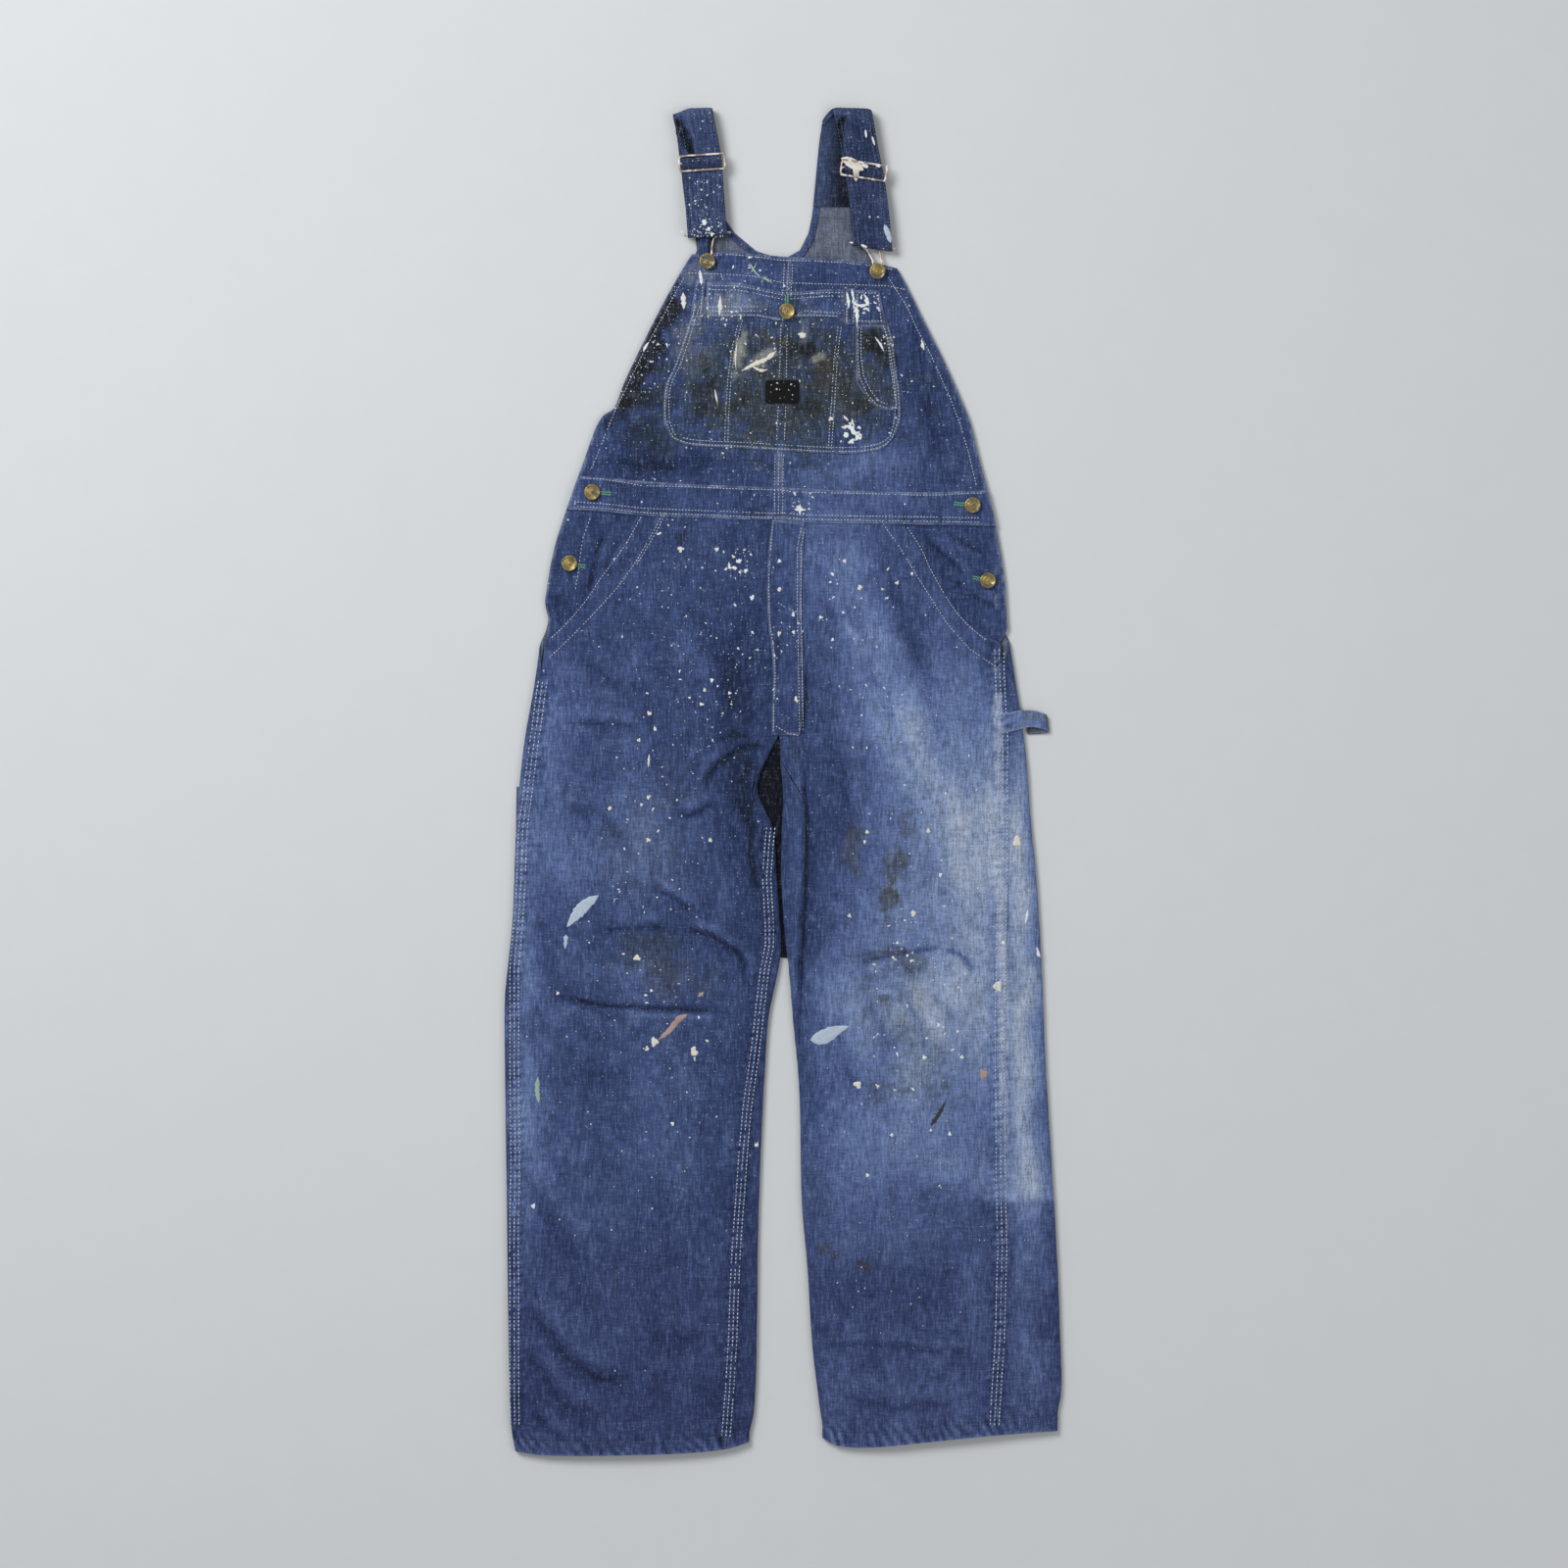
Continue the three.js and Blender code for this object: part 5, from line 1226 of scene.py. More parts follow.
for inset in (2.0, 6.2):
    upper_thread.along(inner_rim(inset))
for offset in (-1.7, 1.7):
    upper_thread.along([(-45, 495), (-53, 462), (-57, 431), (-60, 387), (-60.5, 364)], offset)
    upper_thread.along([(60.5, 487), (56, 450), (54, 409), (50, 356)], offset)
POCKET_ROWS = [
    # centre seam
    ((-2, 489), (-3, 460), (-4, 432)), ((5, 489), (4, 460), (3.4, 432)), ((-5, 402), (-7, 364)),
    ((3, 402), (1.5, 364)),
    # top band
    ((-80, 508), (-50, 508), (-24, 508)), ((-80, 503.5), (-50, 503.5), (-22, 503)),
    ((-80, 499), (-30, 499), (-3, 495), (15, 499), (60, 498)),
    ((-80, 531), (-50, 530.5), (-28, 526.5), (0, 520.5), (50, 523.5), (64, 523.5)),
    ((-80, 526.5), (-50, 526), (-28, 522), (0, 516), (50, 519.5), (64, 519.5)),
    ((22, 503.5), (40, 502.5), (64, 501)),
    # pencil strip, narrow strip and corner flap
    ((-97, 492), (-92, 534), (-84, 534)), ((-90, 490), (-85.5, 532)), ((68, 491), (68, 526)),
    ((75.3, 491), (75.3, 526)), ((80, 493), (92, 492.5), (107, 493)), ((80, 523), (101, 523)),
    ((79.5, 492), (79.5, 524)), ((105, 492), (101.5, 522)),
    # watch pocket
    ((80, 487), (79.8, 453), (82, 433), (90, 415), (100.5, 403), (112, 399.8), (121, 400.5), (120, 420),
     (116.5, 444), (113, 470), (108, 486)),
    ((83.5, 486), (83.5, 453), (86, 435), (94, 418), (103, 407), (112, 404)),
]
for row in POCKET_ROWS:
    upper_thread.along(row)

BUTTONHOLES = {  # direction from the button's middle, length
    "right_waist_button": ((1, -0.08), 20), "left_waist_button": ((-1, 0.1), 20),
    "right_hip_button": ((0.9, -0.2), 17), "left_hip_button": ((-0.9, 0.2), 16),
    "pocket_button": ((0, 1), 16),
}
green_thread = Stitches("buttonhole_stitches", GREEN_THREAD, width=1.1, rise=0.14)
for name, ((dx, dy), length) in BUTTONHOLES.items():
    bx, by = BUTTONS[name][:2]
    size = math.hypot(dx, dy)
    dx, dy = dx / size, dy / size
    for k in np.arange(5.5, length, 0.95):
        for s in (-1, 1):
            x, y = bx + dx * k, by + dy * k
            ends = [(x - dy * s * w, y + dx * s * w) for w in (0.35, 2.1)]
            a, b = [(*e, float(surface(*e)) + 0.25) for e in ends]
            green_thread.one(a, b)
for stitches in (seam_thread, hem_thread, trouser_thread, upper_thread, green_thread):
    stitches.make()


# ------------------------------------------------------------------ straps, slides, hooks, buttons and patch
def arc(y, z, radius, first, last, count):
    """Points round a centre, with angles in half turns."""
    angles = math.pi * np.linspace(first, last, count + 1)
    return [(y + radius * math.cos(a), z + radius * math.sin(a)) for a in angles]


STRAPS = {
    "right": dict(shoulder=SHOULDER_R, fold=713.5, slide=662, end=583, tilt=0.07,
                  behind=curve((602, -82), (719, -96)),
                  before=curve((580, -80.5), (620, -83.5), (662, -86.5), (690, -91), (719, -97))),
    "left": dict(shoulder=SHOULDER_L, fold=713.5, slide=653.5, end=570, tilt=-0.15,
                 behind=curve((616, 53), (719, 63)),
                 before=curve((570, 96), (600, 93.5), (630, 90), (655, 86), (690, 79), (719, 74))),
}
WEAVE = [  # from the slide's middle: how far along the strap, and height
    (14, -2.4), (8.5, -2.8), (6, -2.2), (3, 1.2), (0, 2.8), (-3, 1.2), (-6, -2.2), (-8.5, -2.8), (-14, -2.4)]


def strap_grid(side):
    """Grid of a strap's outer face, its middle line and the height of each of its lengthwise ribs."""
    s = STRAPS[side]
    low, high, under = STRAP_CLOTH / 2, SLIDE_HEIGHT, SLIDE_HEIGHT - 6
    back = [(y, low) for y in np.linspace(s["shoulder"], s["fold"], 4)[1:-1]]
    middle = (s["slide"] + s["end"]) / 2
    run = [*arc(s["fold"], (low + high) / 2, (high - low) / 2, -0.5, 0.5, 6), (s["slide"] + 30, high - 0.5),
           *[(s["slide"] + dy, high + dz) for dy, dz in WEAVE], (middle, high - 1.2),
           *arc(s["end"] + 3.5, high - 3.5, 2.5, 0.5, 1.5, 6), (middle, under), (s["slide"] + 2, under)]
    path = [(s["shoulder"] + GAP, low), *back, *run]
    stops = []
    for i, (y, z) in enumerate(path):
        front = float(smooth(low, high - 1, high if i > len(back) + 6 else z)) if i > len(back) else 0.0
        slope = s["tilt"] * float(smooth(len(back) + 3, len(back) + 8, i))
        stops.append((mix(s["behind"](y), s["before"](y), front), y, z, slope))
    fine = smooth_path(stops, 1.6)
    across = np.linspace(1, -1, 29)
    half = STRAP_WIDTH / 2
    p = fine[:, None, :3] + across[None, :, None] * half * np.stack(
        [np.ones(len(fine)), fine[:, 3], np.zeros(len(fine))], -1)[:, None, :]
    n = normals_of(p)
    offset = across * half
    ribs = 0.16 * np.cos(offset * 2 * math.pi / 5.2) - 0.5 * smooth(half - 1.4, half, np.abs(offset))
    crumple = 0.35 * layered(p[..., 0], p[..., 1] + 5 * p[..., 2], (26, 34), 103)
    calm = smooth(0.97, 0.5, np.abs(across))[None, :]
    outer = p + n * (STRAP_CLOTH / 2 + ribs[None, :] + crumple * calm)[..., None]
    hollow, ridge = strap_fold(side, outer)
    outer[..., 2] += 1.4 * ridge - 3.2 * hollow
    x, y = outer[..., 0], outer[..., 1]
    if side == "right":
        outer[..., 1] = y - 6 * smooth(-98, -118, x) * smooth(680, 719, y)
    else:
        outer[..., 1] = y - (10 * smooth(62, 40, x) ** 2 + 6 * smooth(98, 118, x) ** 2) * smooth(680, 719, y)
    return outer, fine, ribs


def strap_fold(side, p):
    """How deep in the fold near its shoulder, and how far up the fold's ridge, each point of a strap lies."""
    x, y, upper = p[..., 0], p[..., 1], p[..., 2] > SLIDE_HEIGHT - 5
    if side == "right":
        middle = np.interp(y, [668, 690, 708], [-97, -104, -115])
        width = np.interp(y, [664, 682, 706], [1.5, 5, 5])
        reach = smooth(664, 672, y) * smooth(712, 704, y)
        ridge_x = np.interp(y, [668, 690, 717], [-90, -95, -106])
    else:
        middle = np.interp(y, [650, 700, 712], [58, 60, 66])
        width = np.interp(y, [650, 690, 712], [3, 4.5, 3])
        reach = smooth(650, 660, y) * smooth(714, 706, y)
        ridge_x = np.interp(y, [650, 716], [69, 71])
    hollow = np.exp(-((x - middle) / width) ** 4) * reach * upper
    ridge = np.exp(-((x - ridge_x) / 2.2) ** 2) * smooth(660, 672, y) * smooth(717, 711, y) * upper
    return hollow, ridge


STRAP_TOPS = {}  # points of each strap's upper face, for the paint on it
strap_thread = Stitches("strap_stitches", DIM_THREAD, width=0.7)
for side, s in STRAPS.items():
    grid, fine, ribs = strap_grid(side)

    def strap_colour(p, _, side=side, ribs=ribs):
        x, y, z = p[..., 0], p[..., 1], p[..., 2]
        base = -0.25 if side == "right" else -0.75
        hollow, ridge = strap_fold(side, p)
        # Painted shade in the fold's hollow, on the lower layers under the upper ones and under the slide;
        # painted highlight on the fold's ridge; the ribs' crowns lighter and the rolled edges darker, partly
        # wear and partly painted light.
        fade_and_shade = (base + 2.0 * ribs[None, :] + 0.4 * layered(x, y, (14, 40), 107) + 0.5 * smooth(704, 716, y)
                - 0.6 * smooth(9, 4, z) - 2.2 * hollow + 0.5 * ridge
                - 0.5 * np.exp(-((y - STRAPS[side]["slide"]) / 5) ** 2))
        return linear(washed(fade_and_shade)) * (1 - 0.7 * hollow[..., None]) * STRAP_CAST

    # The back half's inner face looks up: deep blue, with painted shade darkest beside the front half.
    far = smooth(30, 2, grid[..., 0] - STRAPS[side]["behind"](grid[..., 1]) + STRAP_WIDTH / 2)[..., None]
    lining = mix(LINING_SHADE, LINING, far)
    length = metres(fine[:, :3])
    cloth(f"{side}_strap", grid, (length, STRAP_WIDTH / 1000), length * STRAP_WIDTH / 1000, ("floor",),
          thickness=STRAP_CLOTH, held="folded", extra=strap_colour, specks=2.0, inner=lining)
    STRAP_TOPS[side] = grid[fine[:, 2] > SLIDE_HEIGHT - 6].reshape(-1, 3)
    upper = (fine[:, 2] > SLIDE_HEIGHT - 4.5) & (fine[:, 1] < s["fold"] + 4)
    for inset in (1.6, 5.6, -1.6, -5.6):
        share = 0.5 - math.copysign(STRAP_WIDTH / 2 - abs(inset), inset) / STRAP_WIDTH
        line = grid[upper, int(round(share * (grid.shape[1] - 1)))]
        run = distances(line)
        for d in np.arange(0.5, run[-1] - 3, 3.7):
            a, b = [np.array([np.interp(d + e, run, line[:, k]) for k in range(3)]) for e in (0, 2.6)]
            a[2] += 0.2
            b[2] += 0.2
            strap_thread.one(a, b)
strap_thread.make()


SLIDE_WIDTH = STRAP_WIDTH + 6.5
WIRE = 1.15  # radius of the slides' and hooks' wire


def tube_mesh(points, radius, closed=True):
    """Round wire through the points."""
    p, sides = np.array(points, float), 10
    ahead = np.roll(p, -1, 0) - np.roll(p, 1, 0) if closed else np.gradient(p, axis=0)
    ahead /= np.linalg.norm(ahead, axis=1, keepdims=True)
    side = np.cross(ahead, (0.05, 0.02, 1.0))
    side /= np.linalg.norm(side, axis=1, keepdims=True)
    over = np.cross(side, ahead)
    angles = 2 * math.pi * np.arange(sides) / sides
    rough = 1 + 0.06 * noise(p[:, 0], p[:, 1], 3, 111)
    ring = side[:, None] * np.cos(angles)[None, :, None] + over[:, None] * np.sin(angles)[None, :, None]
    verts = p[:, None] + radius * rough[:, None, None] * ring
    return verts.reshape(-1, 3), ring_quads(len(p), sides, closed)[:, ::-1]


def joined(name, parts, material, slot, node=None, sharp=40):
    """One object from several meshes of quads, which may stand for a CAD node."""
    verts, faces, count = [], [], 0
    for v, f in parts:
        verts.append(np.asarray(v, float))
        faces.append(np.asarray(f) + count)
        count += len(v)
    obj = new_object(name, np.concatenate(verts), np.concatenate(faces), material=material, sharp=sharp)
    if node:
        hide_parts(node)


def rounded_rectangle(width, height, radius):
    out = []
    for sx, sy, start in ((1, -1, -0.5), (1, 1, 0), (-1, 1, 0.5), (-1, -1, 1)):
        middle_x, middle_y = sx * (width / 2 - radius), sy * (height / 2 - radius)
        for t in np.linspace(0, 1, 4):
            a = math.pi * (start + t / 2)
            out.append((middle_x + radius * math.cos(a), middle_y + radius * math.sin(a)))
    return out


# A short end of the right strap's denim shows between its folded end and the bib button.
u, v = np.meshgrid(np.linspace(0, 1, 9), np.linspace(0, 1, 14))
stub_x, stub_y = mix(-90.5, -81, u) + 1.5 * v, mix(560, 586, v)
stub = np.stack([stub_x, stub_y, 12.6 - 5 * v - 0.7 * np.abs(2 * u - 1) ** 4], -1)
cloth("right_strap_stub", stub, (0.028, 0.0105), 0.00025, held="folded", thickness=1.2, offset=-0.5,
      stands_for_node=False)

for side, s in STRAPS.items():
    x0, y0, tilt = float(s["before"](s["slide"])), s["slide"], math.atan(s["tilt"])

    def placed(points):
        cosine, sine = math.cos(tilt), math.sin(tilt)
        return [(x0 + x * cosine - y * sine, y0 + x * sine + y * cosine, SLIDE_HEIGHT) for x, y in points]

    rim = smooth_path(placed(rounded_rectangle(SLIDE_WIDTH, 16, 3.5)), 1.2, closed=True)
    bar = placed([(x, 0) for x in np.linspace(-SLIDE_WIDTH / 2, SLIDE_WIDTH / 2, 30)])
    joined(f"{side}_slide_wire", [tube_mesh(rim, WIRE), tube_mesh(bar, 1.1, closed=False)], WIRE_METAL,
           "wire", f"{side}_slide")
    bx, by = BUTTONS[f"{side}_bib_button"][:2]
    x, y, reach = float(s["before"](s["end"] + 3.4)), s["end"] + 3.4, STRAP_WIDTH / 2 + 3
    bar_height, behind, neck = SLIDE_HEIGHT - 3.5, SLIDE_HEIGHT - 9, 4.6
    ring_height = height_at(bx, by) + GAP + 0.8 + 1.6

    def wire_side(k):
        """Half of the hook, from its bar across the strap's end round to the ring behind the button."""
        bar = [(reach * 0.5, bar_height), (reach - 2.4, bar_height), (reach, bar_height - 2.2),
               (reach - 1, behind + 0.6), (reach - 6, behind)]
        legs = [(mix(x, bx, 0.2) + k * 8, y - 3, behind),
                (mix(x, bx, 0.7) + k * 5, mix(y, by, 0.45), behind + 1.2)]
        ring = [(bx + k * neck, by + 9, ring_height - 0.2), (bx + k * neck, by + 3, ring_height),
                (bx + k * neck * 0.8, by - 2.8, ring_height)]
        return [(x + k * dx, y + s["tilt"] * (k * dx), z) for dx, z in bar] + legs + ring

    loop = [*wire_side(1), (bx, by - neck, ring_height), *wire_side(-1)[::-1]]
    joined(f"{side}_hook_wire", [tube_mesh(smooth_path(loop, 1.2, closed=True), WIRE)], WIRE_METAL, "wire",
           f"{side}_hook")


def lathe(profile, x, y, z, around=40):
    """Solid of revolution from radius and height points; its ends are on the axis."""
    p = np.array(profile, float)
    angles = 2 * math.pi * np.arange(around) / around
    r, h = np.maximum(p[:, 0], 0.02), p[:, 1]
    verts = np.stack([x + r[:, None] * np.cos(angles), y + r[:, None] * np.sin(angles),
                      z + h[:, None] + 0 * angles], -1)
    return verts.reshape(-1, 3), ring_quads(len(p), around)


def button_profile(neck):
    """Foot, neck, then a dished head with a beaded rim and a raised ring."""
    r, head = BUTTON_RADIUS, 0.8 + neck
    bead = [(r - 1.0 + 1.0 * math.sin(a), head + 1.4 - 1.0 * math.cos(a)) for a in np.linspace(0, math.pi, 9)]
    dish = [(r - 1.9, head + 2.0), (r - 2.6, head + 1.35), (5.2, head + 1.2), (4.7, head + 1.75),
            (4.2, head + 1.75), (3.7, head + 1.2), (1.6, head + 1.3), (1.2, head + 1.9), (0, head + 2.05)]
    return [(0, 0), (5.4, 0), (5.5, 0.4), (5.4, 0.8), (3.1, 1.0), (3.0, head), *bead, *dish]


for name, (x, y, raised, neck) in BUTTONS.items():
    z = height_at(x, y) + raised + GAP + 0.3
    joined(f"{name}_brass", [lathe(button_profile(neck), x, y, z)], BRASS, "brass", name, sharp=50)

# The plain black patch, slightly domed, with a turned-down rim.
px, py = np.meshgrid(np.linspace(-1, 1, 25), np.linspace(-1, 1, 19))
round_off = 1 - 0.06 * (np.abs(px) ** 6) * (np.abs(py) ** 6)
patch_x, patch_y = PATCH_X + 18 * px * round_off, PATCH_Y + 12.5 * py * round_off
patch_z = surface(patch_x, patch_y) + LAYER - 0.2 - 0.5 * np.maximum(np.abs(px), np.abs(py)) ** 12
patch = wall("black_patch_plate", np.stack([patch_x, patch_y, patch_z], -1),
             np.zeros(patch_x.shape + (3,)), INNER_FACE, BLACK_PATCH, 1.2)
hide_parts("label_patch")


# ------------------------------------------------------------------ hems and small pieces
def ring(leg, tube_level, height):
    """Points round a leg's outer face, at a height above its hem."""
    y = np.array([[float(tube_level)]])
    girth = float(leg.girth(y)[0, 0])
    along = np.linspace(0, girth, 221)[:-1]
    low = leg.at(np.full((1, 1), float(HEM)), along[None, :] * float(leg.girth(np.array(float(HEM)))) / girth)
    high = leg.at(y, along[None, :])
    return mix(low[0], high[0], height / (tube_level - HEM))


for side, leg in (("right", RIGHT_LEG), ("left", LEFT_LEG)):
    outside = np.stack([ring(leg, -690, h) for h in np.linspace(1, 15, 7)])
    wide = np.concatenate([outside[:, -1:], outside, outside[:, :1]], 1)
    inset = outside - normals_of(wide)[:, 1:-1] * (LAYER + 0.1)
    girth = float(leg.girth(np.array(float(HEM)))) / 1000
    cloth(f"{side}_hem", inset, (girth, 0.015), girth * 0.0145, closed=True, held="folded")

edge = np.array([(float(NECK_R(y)), y) for y in np.linspace(SHOULDER_R, 562, 16)] + [(0, NECK)]
                + [(float(NECK_L(y)), y) for y in np.linspace(562, SHOULDER_L, 20)])
ahead = np.gradient(edge, axis=0)
away = np.stack([ahead[:, 1], -ahead[:, 0]], -1) / np.linalg.norm(ahead, axis=1, keepdims=True)
height = np.full((len(edge), 1), LAYER + CLOTH)
facing = np.stack([np.concatenate([edge + away * far, height], 1) for far in np.linspace(7, 0.8, 5)])
facing_length = area_of(facing) / 0.0062
cloth("neck_facing", facing, (facing_length, 0.01), area_of(facing), ("right_back_cloth",), offset=0.2)
neck_thread = Stitches("neck_stitches", DIM_THREAD)
for distance in (5.6, 1.6):
    neck_thread.along(edge + away * distance, height=lambda x, y: 0 * x + LAYER + CLOTH)
neck_thread.make()

loop_points = [(x, y, height_at(x, y) + LAYER - CLOTH / 2 + 0.6)
               for x, y in ((229, 63), (241, 64), (250, 66))]
loop_points += [(262, 68, 8.8), (272, 67, 7.6), (279, 65, 6.6), (282.5, 63.5, 5.2), (283.5, 62.5, 3.6),
                (282.5, 62, 2), (280, 61.5, 0.9), (273, 60.5, CLOTH / 2), (261, 60, CLOTH / 2)]
loop_points = loop_points[::-1]
ways = [(1, 9) if i < len(loop_points) - 3 else (0, 10.5) for i in range(len(loop_points))]
line = smooth_path([(*p, *w) for p, w in zip(loop_points, ways)], 1.8)
across = np.linspace(1, -1, 15)
loop_grid = line[:, None, :3] + across[None, :, None] * np.stack(
    [line[:, 3], -line[:, 4], np.zeros(len(line))], -1)[:, None, :]
loop_grid = loop_grid + normals_of(loop_grid) * (CLOTH / 2 - 0.4 * np.abs(across[None, :, None]) ** 8)
length = metres(line[:, :3])
cloth("hammer_loop", loop_grid, (length, 0.021), length * 0.02, ("floor",), held="folded",
      extra=rim_wear(1.0), specks=0.5, offset=0.7)

# A sheet for the seat's cloth between the legs below the crotch, painted the near-black of deep shadow.
gap_levels = np.linspace(-188, 52, 96)
share = np.linspace(0, 1, 12)
gap_left, gap_right = INNER_R(gap_levels) - 1.5, INNER_L(gap_levels) + 1.5
gap_x = mix(gap_left[:, None], gap_right[:, None], share[None, :])
gap_y = gap_levels[:, None] + 0 * gap_x
gap_z = 1.7 + 2.0 * smooth(10, 36, gap_y) + 0.4 * noise(gap_x, gap_y, (9, 30), 125)
shadow_sheet = np.stack([gap_x, gap_y, gap_z], -1)
cloth("crotch_shadow_sheet", shadow_sheet, (0.241, 0.032), area_of(shadow_sheet), ("floor",), held="folded", specks=0,
      inner=SHADOW, extra=lambda p, colours: 0 * colours + SHADOW, stands_for_node=False)

p = RULE_POCKET
u, v = np.meshgrid(np.linspace(0, 1, 22), np.linspace(0, 1, 60))
pocket_x = mix(p["left"] - 3 * (1 - v), p["right"] - 3 * (1 - v), u)
pocket_y = mix(p["low"] + 2 * u, p["high"] - 2 * u, v)
under = np.stack([pocket_x, pocket_y, np.zeros(pocket_x.shape)], -1)[:, ::-1]
cloth("rule_pocket", under, (0.183, 0.0615), area_of(under), ("floor",))


# ------------------------------------------------------------------ paint, raised off the cloth
class Paint:
    """Splashes and smears of one colour: thin raised pools with ragged rims, which follow the cloth."""

    def __init__(self, colour):
        self.colour, self.parts = colour, []

    def splash(self, x, y, rx, ry, turn=0.0, seed=0, height=0.22, surface_at=surface):
        """A pool around a point, with a few lobes."""
        large = max(rx, ry) > 1.6
        around = 22 if large else 10
        angles = 2 * math.pi * np.arange(around) / around
        wave = layered(3 * np.cos(angles) + 7 * seed, 3 * np.sin(angles) + x, 1.7, 131, 2)
        spread = 1 + RAGGED * (1.3 * wave + 0.35 * np.sin(3 * angles + seed))
        a = math.radians(turn)
        verts = []
        for grow, rise in PROFILE if large else PROFILE[::2]:
            u, v = rx * grow * spread * np.cos(angles), ry * grow * spread * np.sin(angles)
            px, py = x + u * math.cos(a) - v * math.sin(a), y + u * math.sin(a) + v * math.cos(a)
            verts.append(np.stack([px, py, surface_at(px, py) + height * rise + 0.12], -1))
        self.parts.append((np.concatenate(verts), ring_quads(len(verts), around)[:, ::-1]))

    def smear(self, points, width, seed=0, height=0.22, widest=0.5, surface_at=surface):
        """A leaf of paint along a line, widest part-way along and drawn out to points at its ends."""
        line = smooth_path(points, max(0.8, width / 6))
        t = np.linspace(0, 1, len(line))
        share = np.minimum(t / widest, (1 - t) / (1 - widest))
        edge = 1 + (0.6 if width < 8 else 0.2) * layered(20 * t, 7.3 * seed + 0 * t, 1.2, 141, 2)
        half = width / 2 * np.sin(share * math.pi / 2) ** 0.8 * edge + 0.05
        ahead = np.gradient(line, axis=0)
        ahead /= np.linalg.norm(ahead, axis=1, keepdims=True)
        across = np.array([-1.05, -0.95, -0.6, 0, 0.6, 0.95, 1.05])
        x = line[:, :1] - ahead[:, 1:] * half[:, None] * across
        y = line[:, 1:] + ahead[:, :1] * half[:, None] * across
        rise = height * np.array([-0.9, 0.4, 0.9, 1, 0.9, 0.4, -0.9])
        verts = np.stack([x, y, surface_at(x, y) + rise + 0.12], -1)
        index = np.arange(x.size).reshape(x.shape)
        faces = np.stack([index[:-1, :-1], index[1:, :-1], index[1:, 1:], index[:-1, 1:]], -1).reshape(-1, 4)
        self.parts.append((verts.reshape(-1, 3), faces))

    def make(self):
        joined(f"{self.colour}_paint_marks", self.parts, PAINTS[self.colour], "denim", sharp=None)


RAGGED = 0.5  # how far a pool's rim strays
PROFILE = [(0.02, 1.0), (0.45, 0.95), (0.8, 0.8), (1.0, 0.35), (1.06, -0.9)]  # share of the reach, rise
paint = {colour: Paint(colour) for colour in PAINTS}
DROPS = {  # x, y, half width, half height, turn
    "cream": [
        (-67, 508, 2.6, 3, 0), (-138, -277, 3.6, 4, 0), (-145, -285, 2, 2, 0), (-95, -288, 3.8, 4, 0),
        (-156, -188, 3, 2.6, 0), (-185, -28, 2, 2, 0), (-144, -16, 1.8, 2, 0), (-151, -24, 1.4, 1.6, 0),
        (-144, -62, 2, 2, 0), (-78, -62, 1.7, 2, 0), (251, -63, 4.4, 4.8, 0), (229, -219, 4, 4.6, 0),
        (80, -324, 3.8, 4, 0), (101, -325, 2, 2, 0), (139, -140, 2.6, 3, 0), (90, -53, 1.8, 2, 0),
        (155, -52, 1.8, 2, 0), (71, -143, 1.8, 2, 0), (-110, 249, 2.4, 2.6, 0), (-71, 249, 2, 2.2, 0),
        (-143, 73, 2, 2.4, 0), (-137, 57, 1.6, 2, 0), (-84, 98, 2, 1.8, 0), (-154, 45, 1.8, 1.8, 0),
        (14, 88, 1.6, 3, 20), (-4, 206, 1.8, 2, 0), (-4, 159, 2, 2.4, 0), (17, 293, 2.6, 2.2, 0),
        (82, 208, 2.2, 2.4, 0), (66, 236, 1.8, 2, 0), (122, 213, 1.8, 2, 0), (20, 478, 4, 2.6, 10),
        (149, 467, 1.8, 2.4, 0), (51, 388, 2.4, 2, 0),
    ],
    "white": [
        (70, 380, 3.2, 2.4, 20), (76, 374, 3.6, 2.6, -20), (67, 371, 2.4, 3.4, 0), (80, 368, 2.6, 2.2, 0),
        (73, 364, 3.0, 2.0, 10), (-47, 236, 2.6, 2.2, 0), (-52, 229, 2.2, 2.0, 0), (-40, 226, 2.4, 1.8, 0),
        (-141, -223, 1.6, 1.6, 0), (-241, -226, 1.6, 1.6, 0), (235, -172, 1.8, 2.4, 0),
        (273, -184, 1.6, 2.4, 0), (87, -64, 1.4, 1.6, 0), (168, -99, 1.6, 1.8, 0), (166, -259, 2, 2, 0),
        (151, -294, 1.8, 1.8, 0), (191, -294, 1.6, 2, 0), (-28, -388, 1.8, 1.8, 0), (-267, -453, 2, 2, 0),
        (-118, -365, 1.8, 2, 0), (90, -420, 1.6, 1.8, 0), (178, -376, 1.6, 1.8, 0),
        (158, -372, 1.4, 1.4, 0), (116, -377, 1.6, 1.6, 0), (-33, 197, 2, 2.2, 0), (-76, 109, 1.6, 2, 0),
        (-57, 95, 1.6, 1.6, 0), (-87, 83, 1.8, 1.6, 0), (-4, 236, 1.6, 1.8, 0), (11, 179, 1.6, 2.2, 0),
        (11, 160, 1.6, 1.6, 0), (53, 222, 1.6, 1.8, 0), (138, 223, 1.4, 1.6, 0), (40, 176, 1.8, 1.8, 0),
        (53, 152, 1.6, 1.8, 0),
    ],
    "tan": [
        (214, -313, 3.0, 5.4, -8), (-88, -227, 3.2, 2, 30),
    ],
}
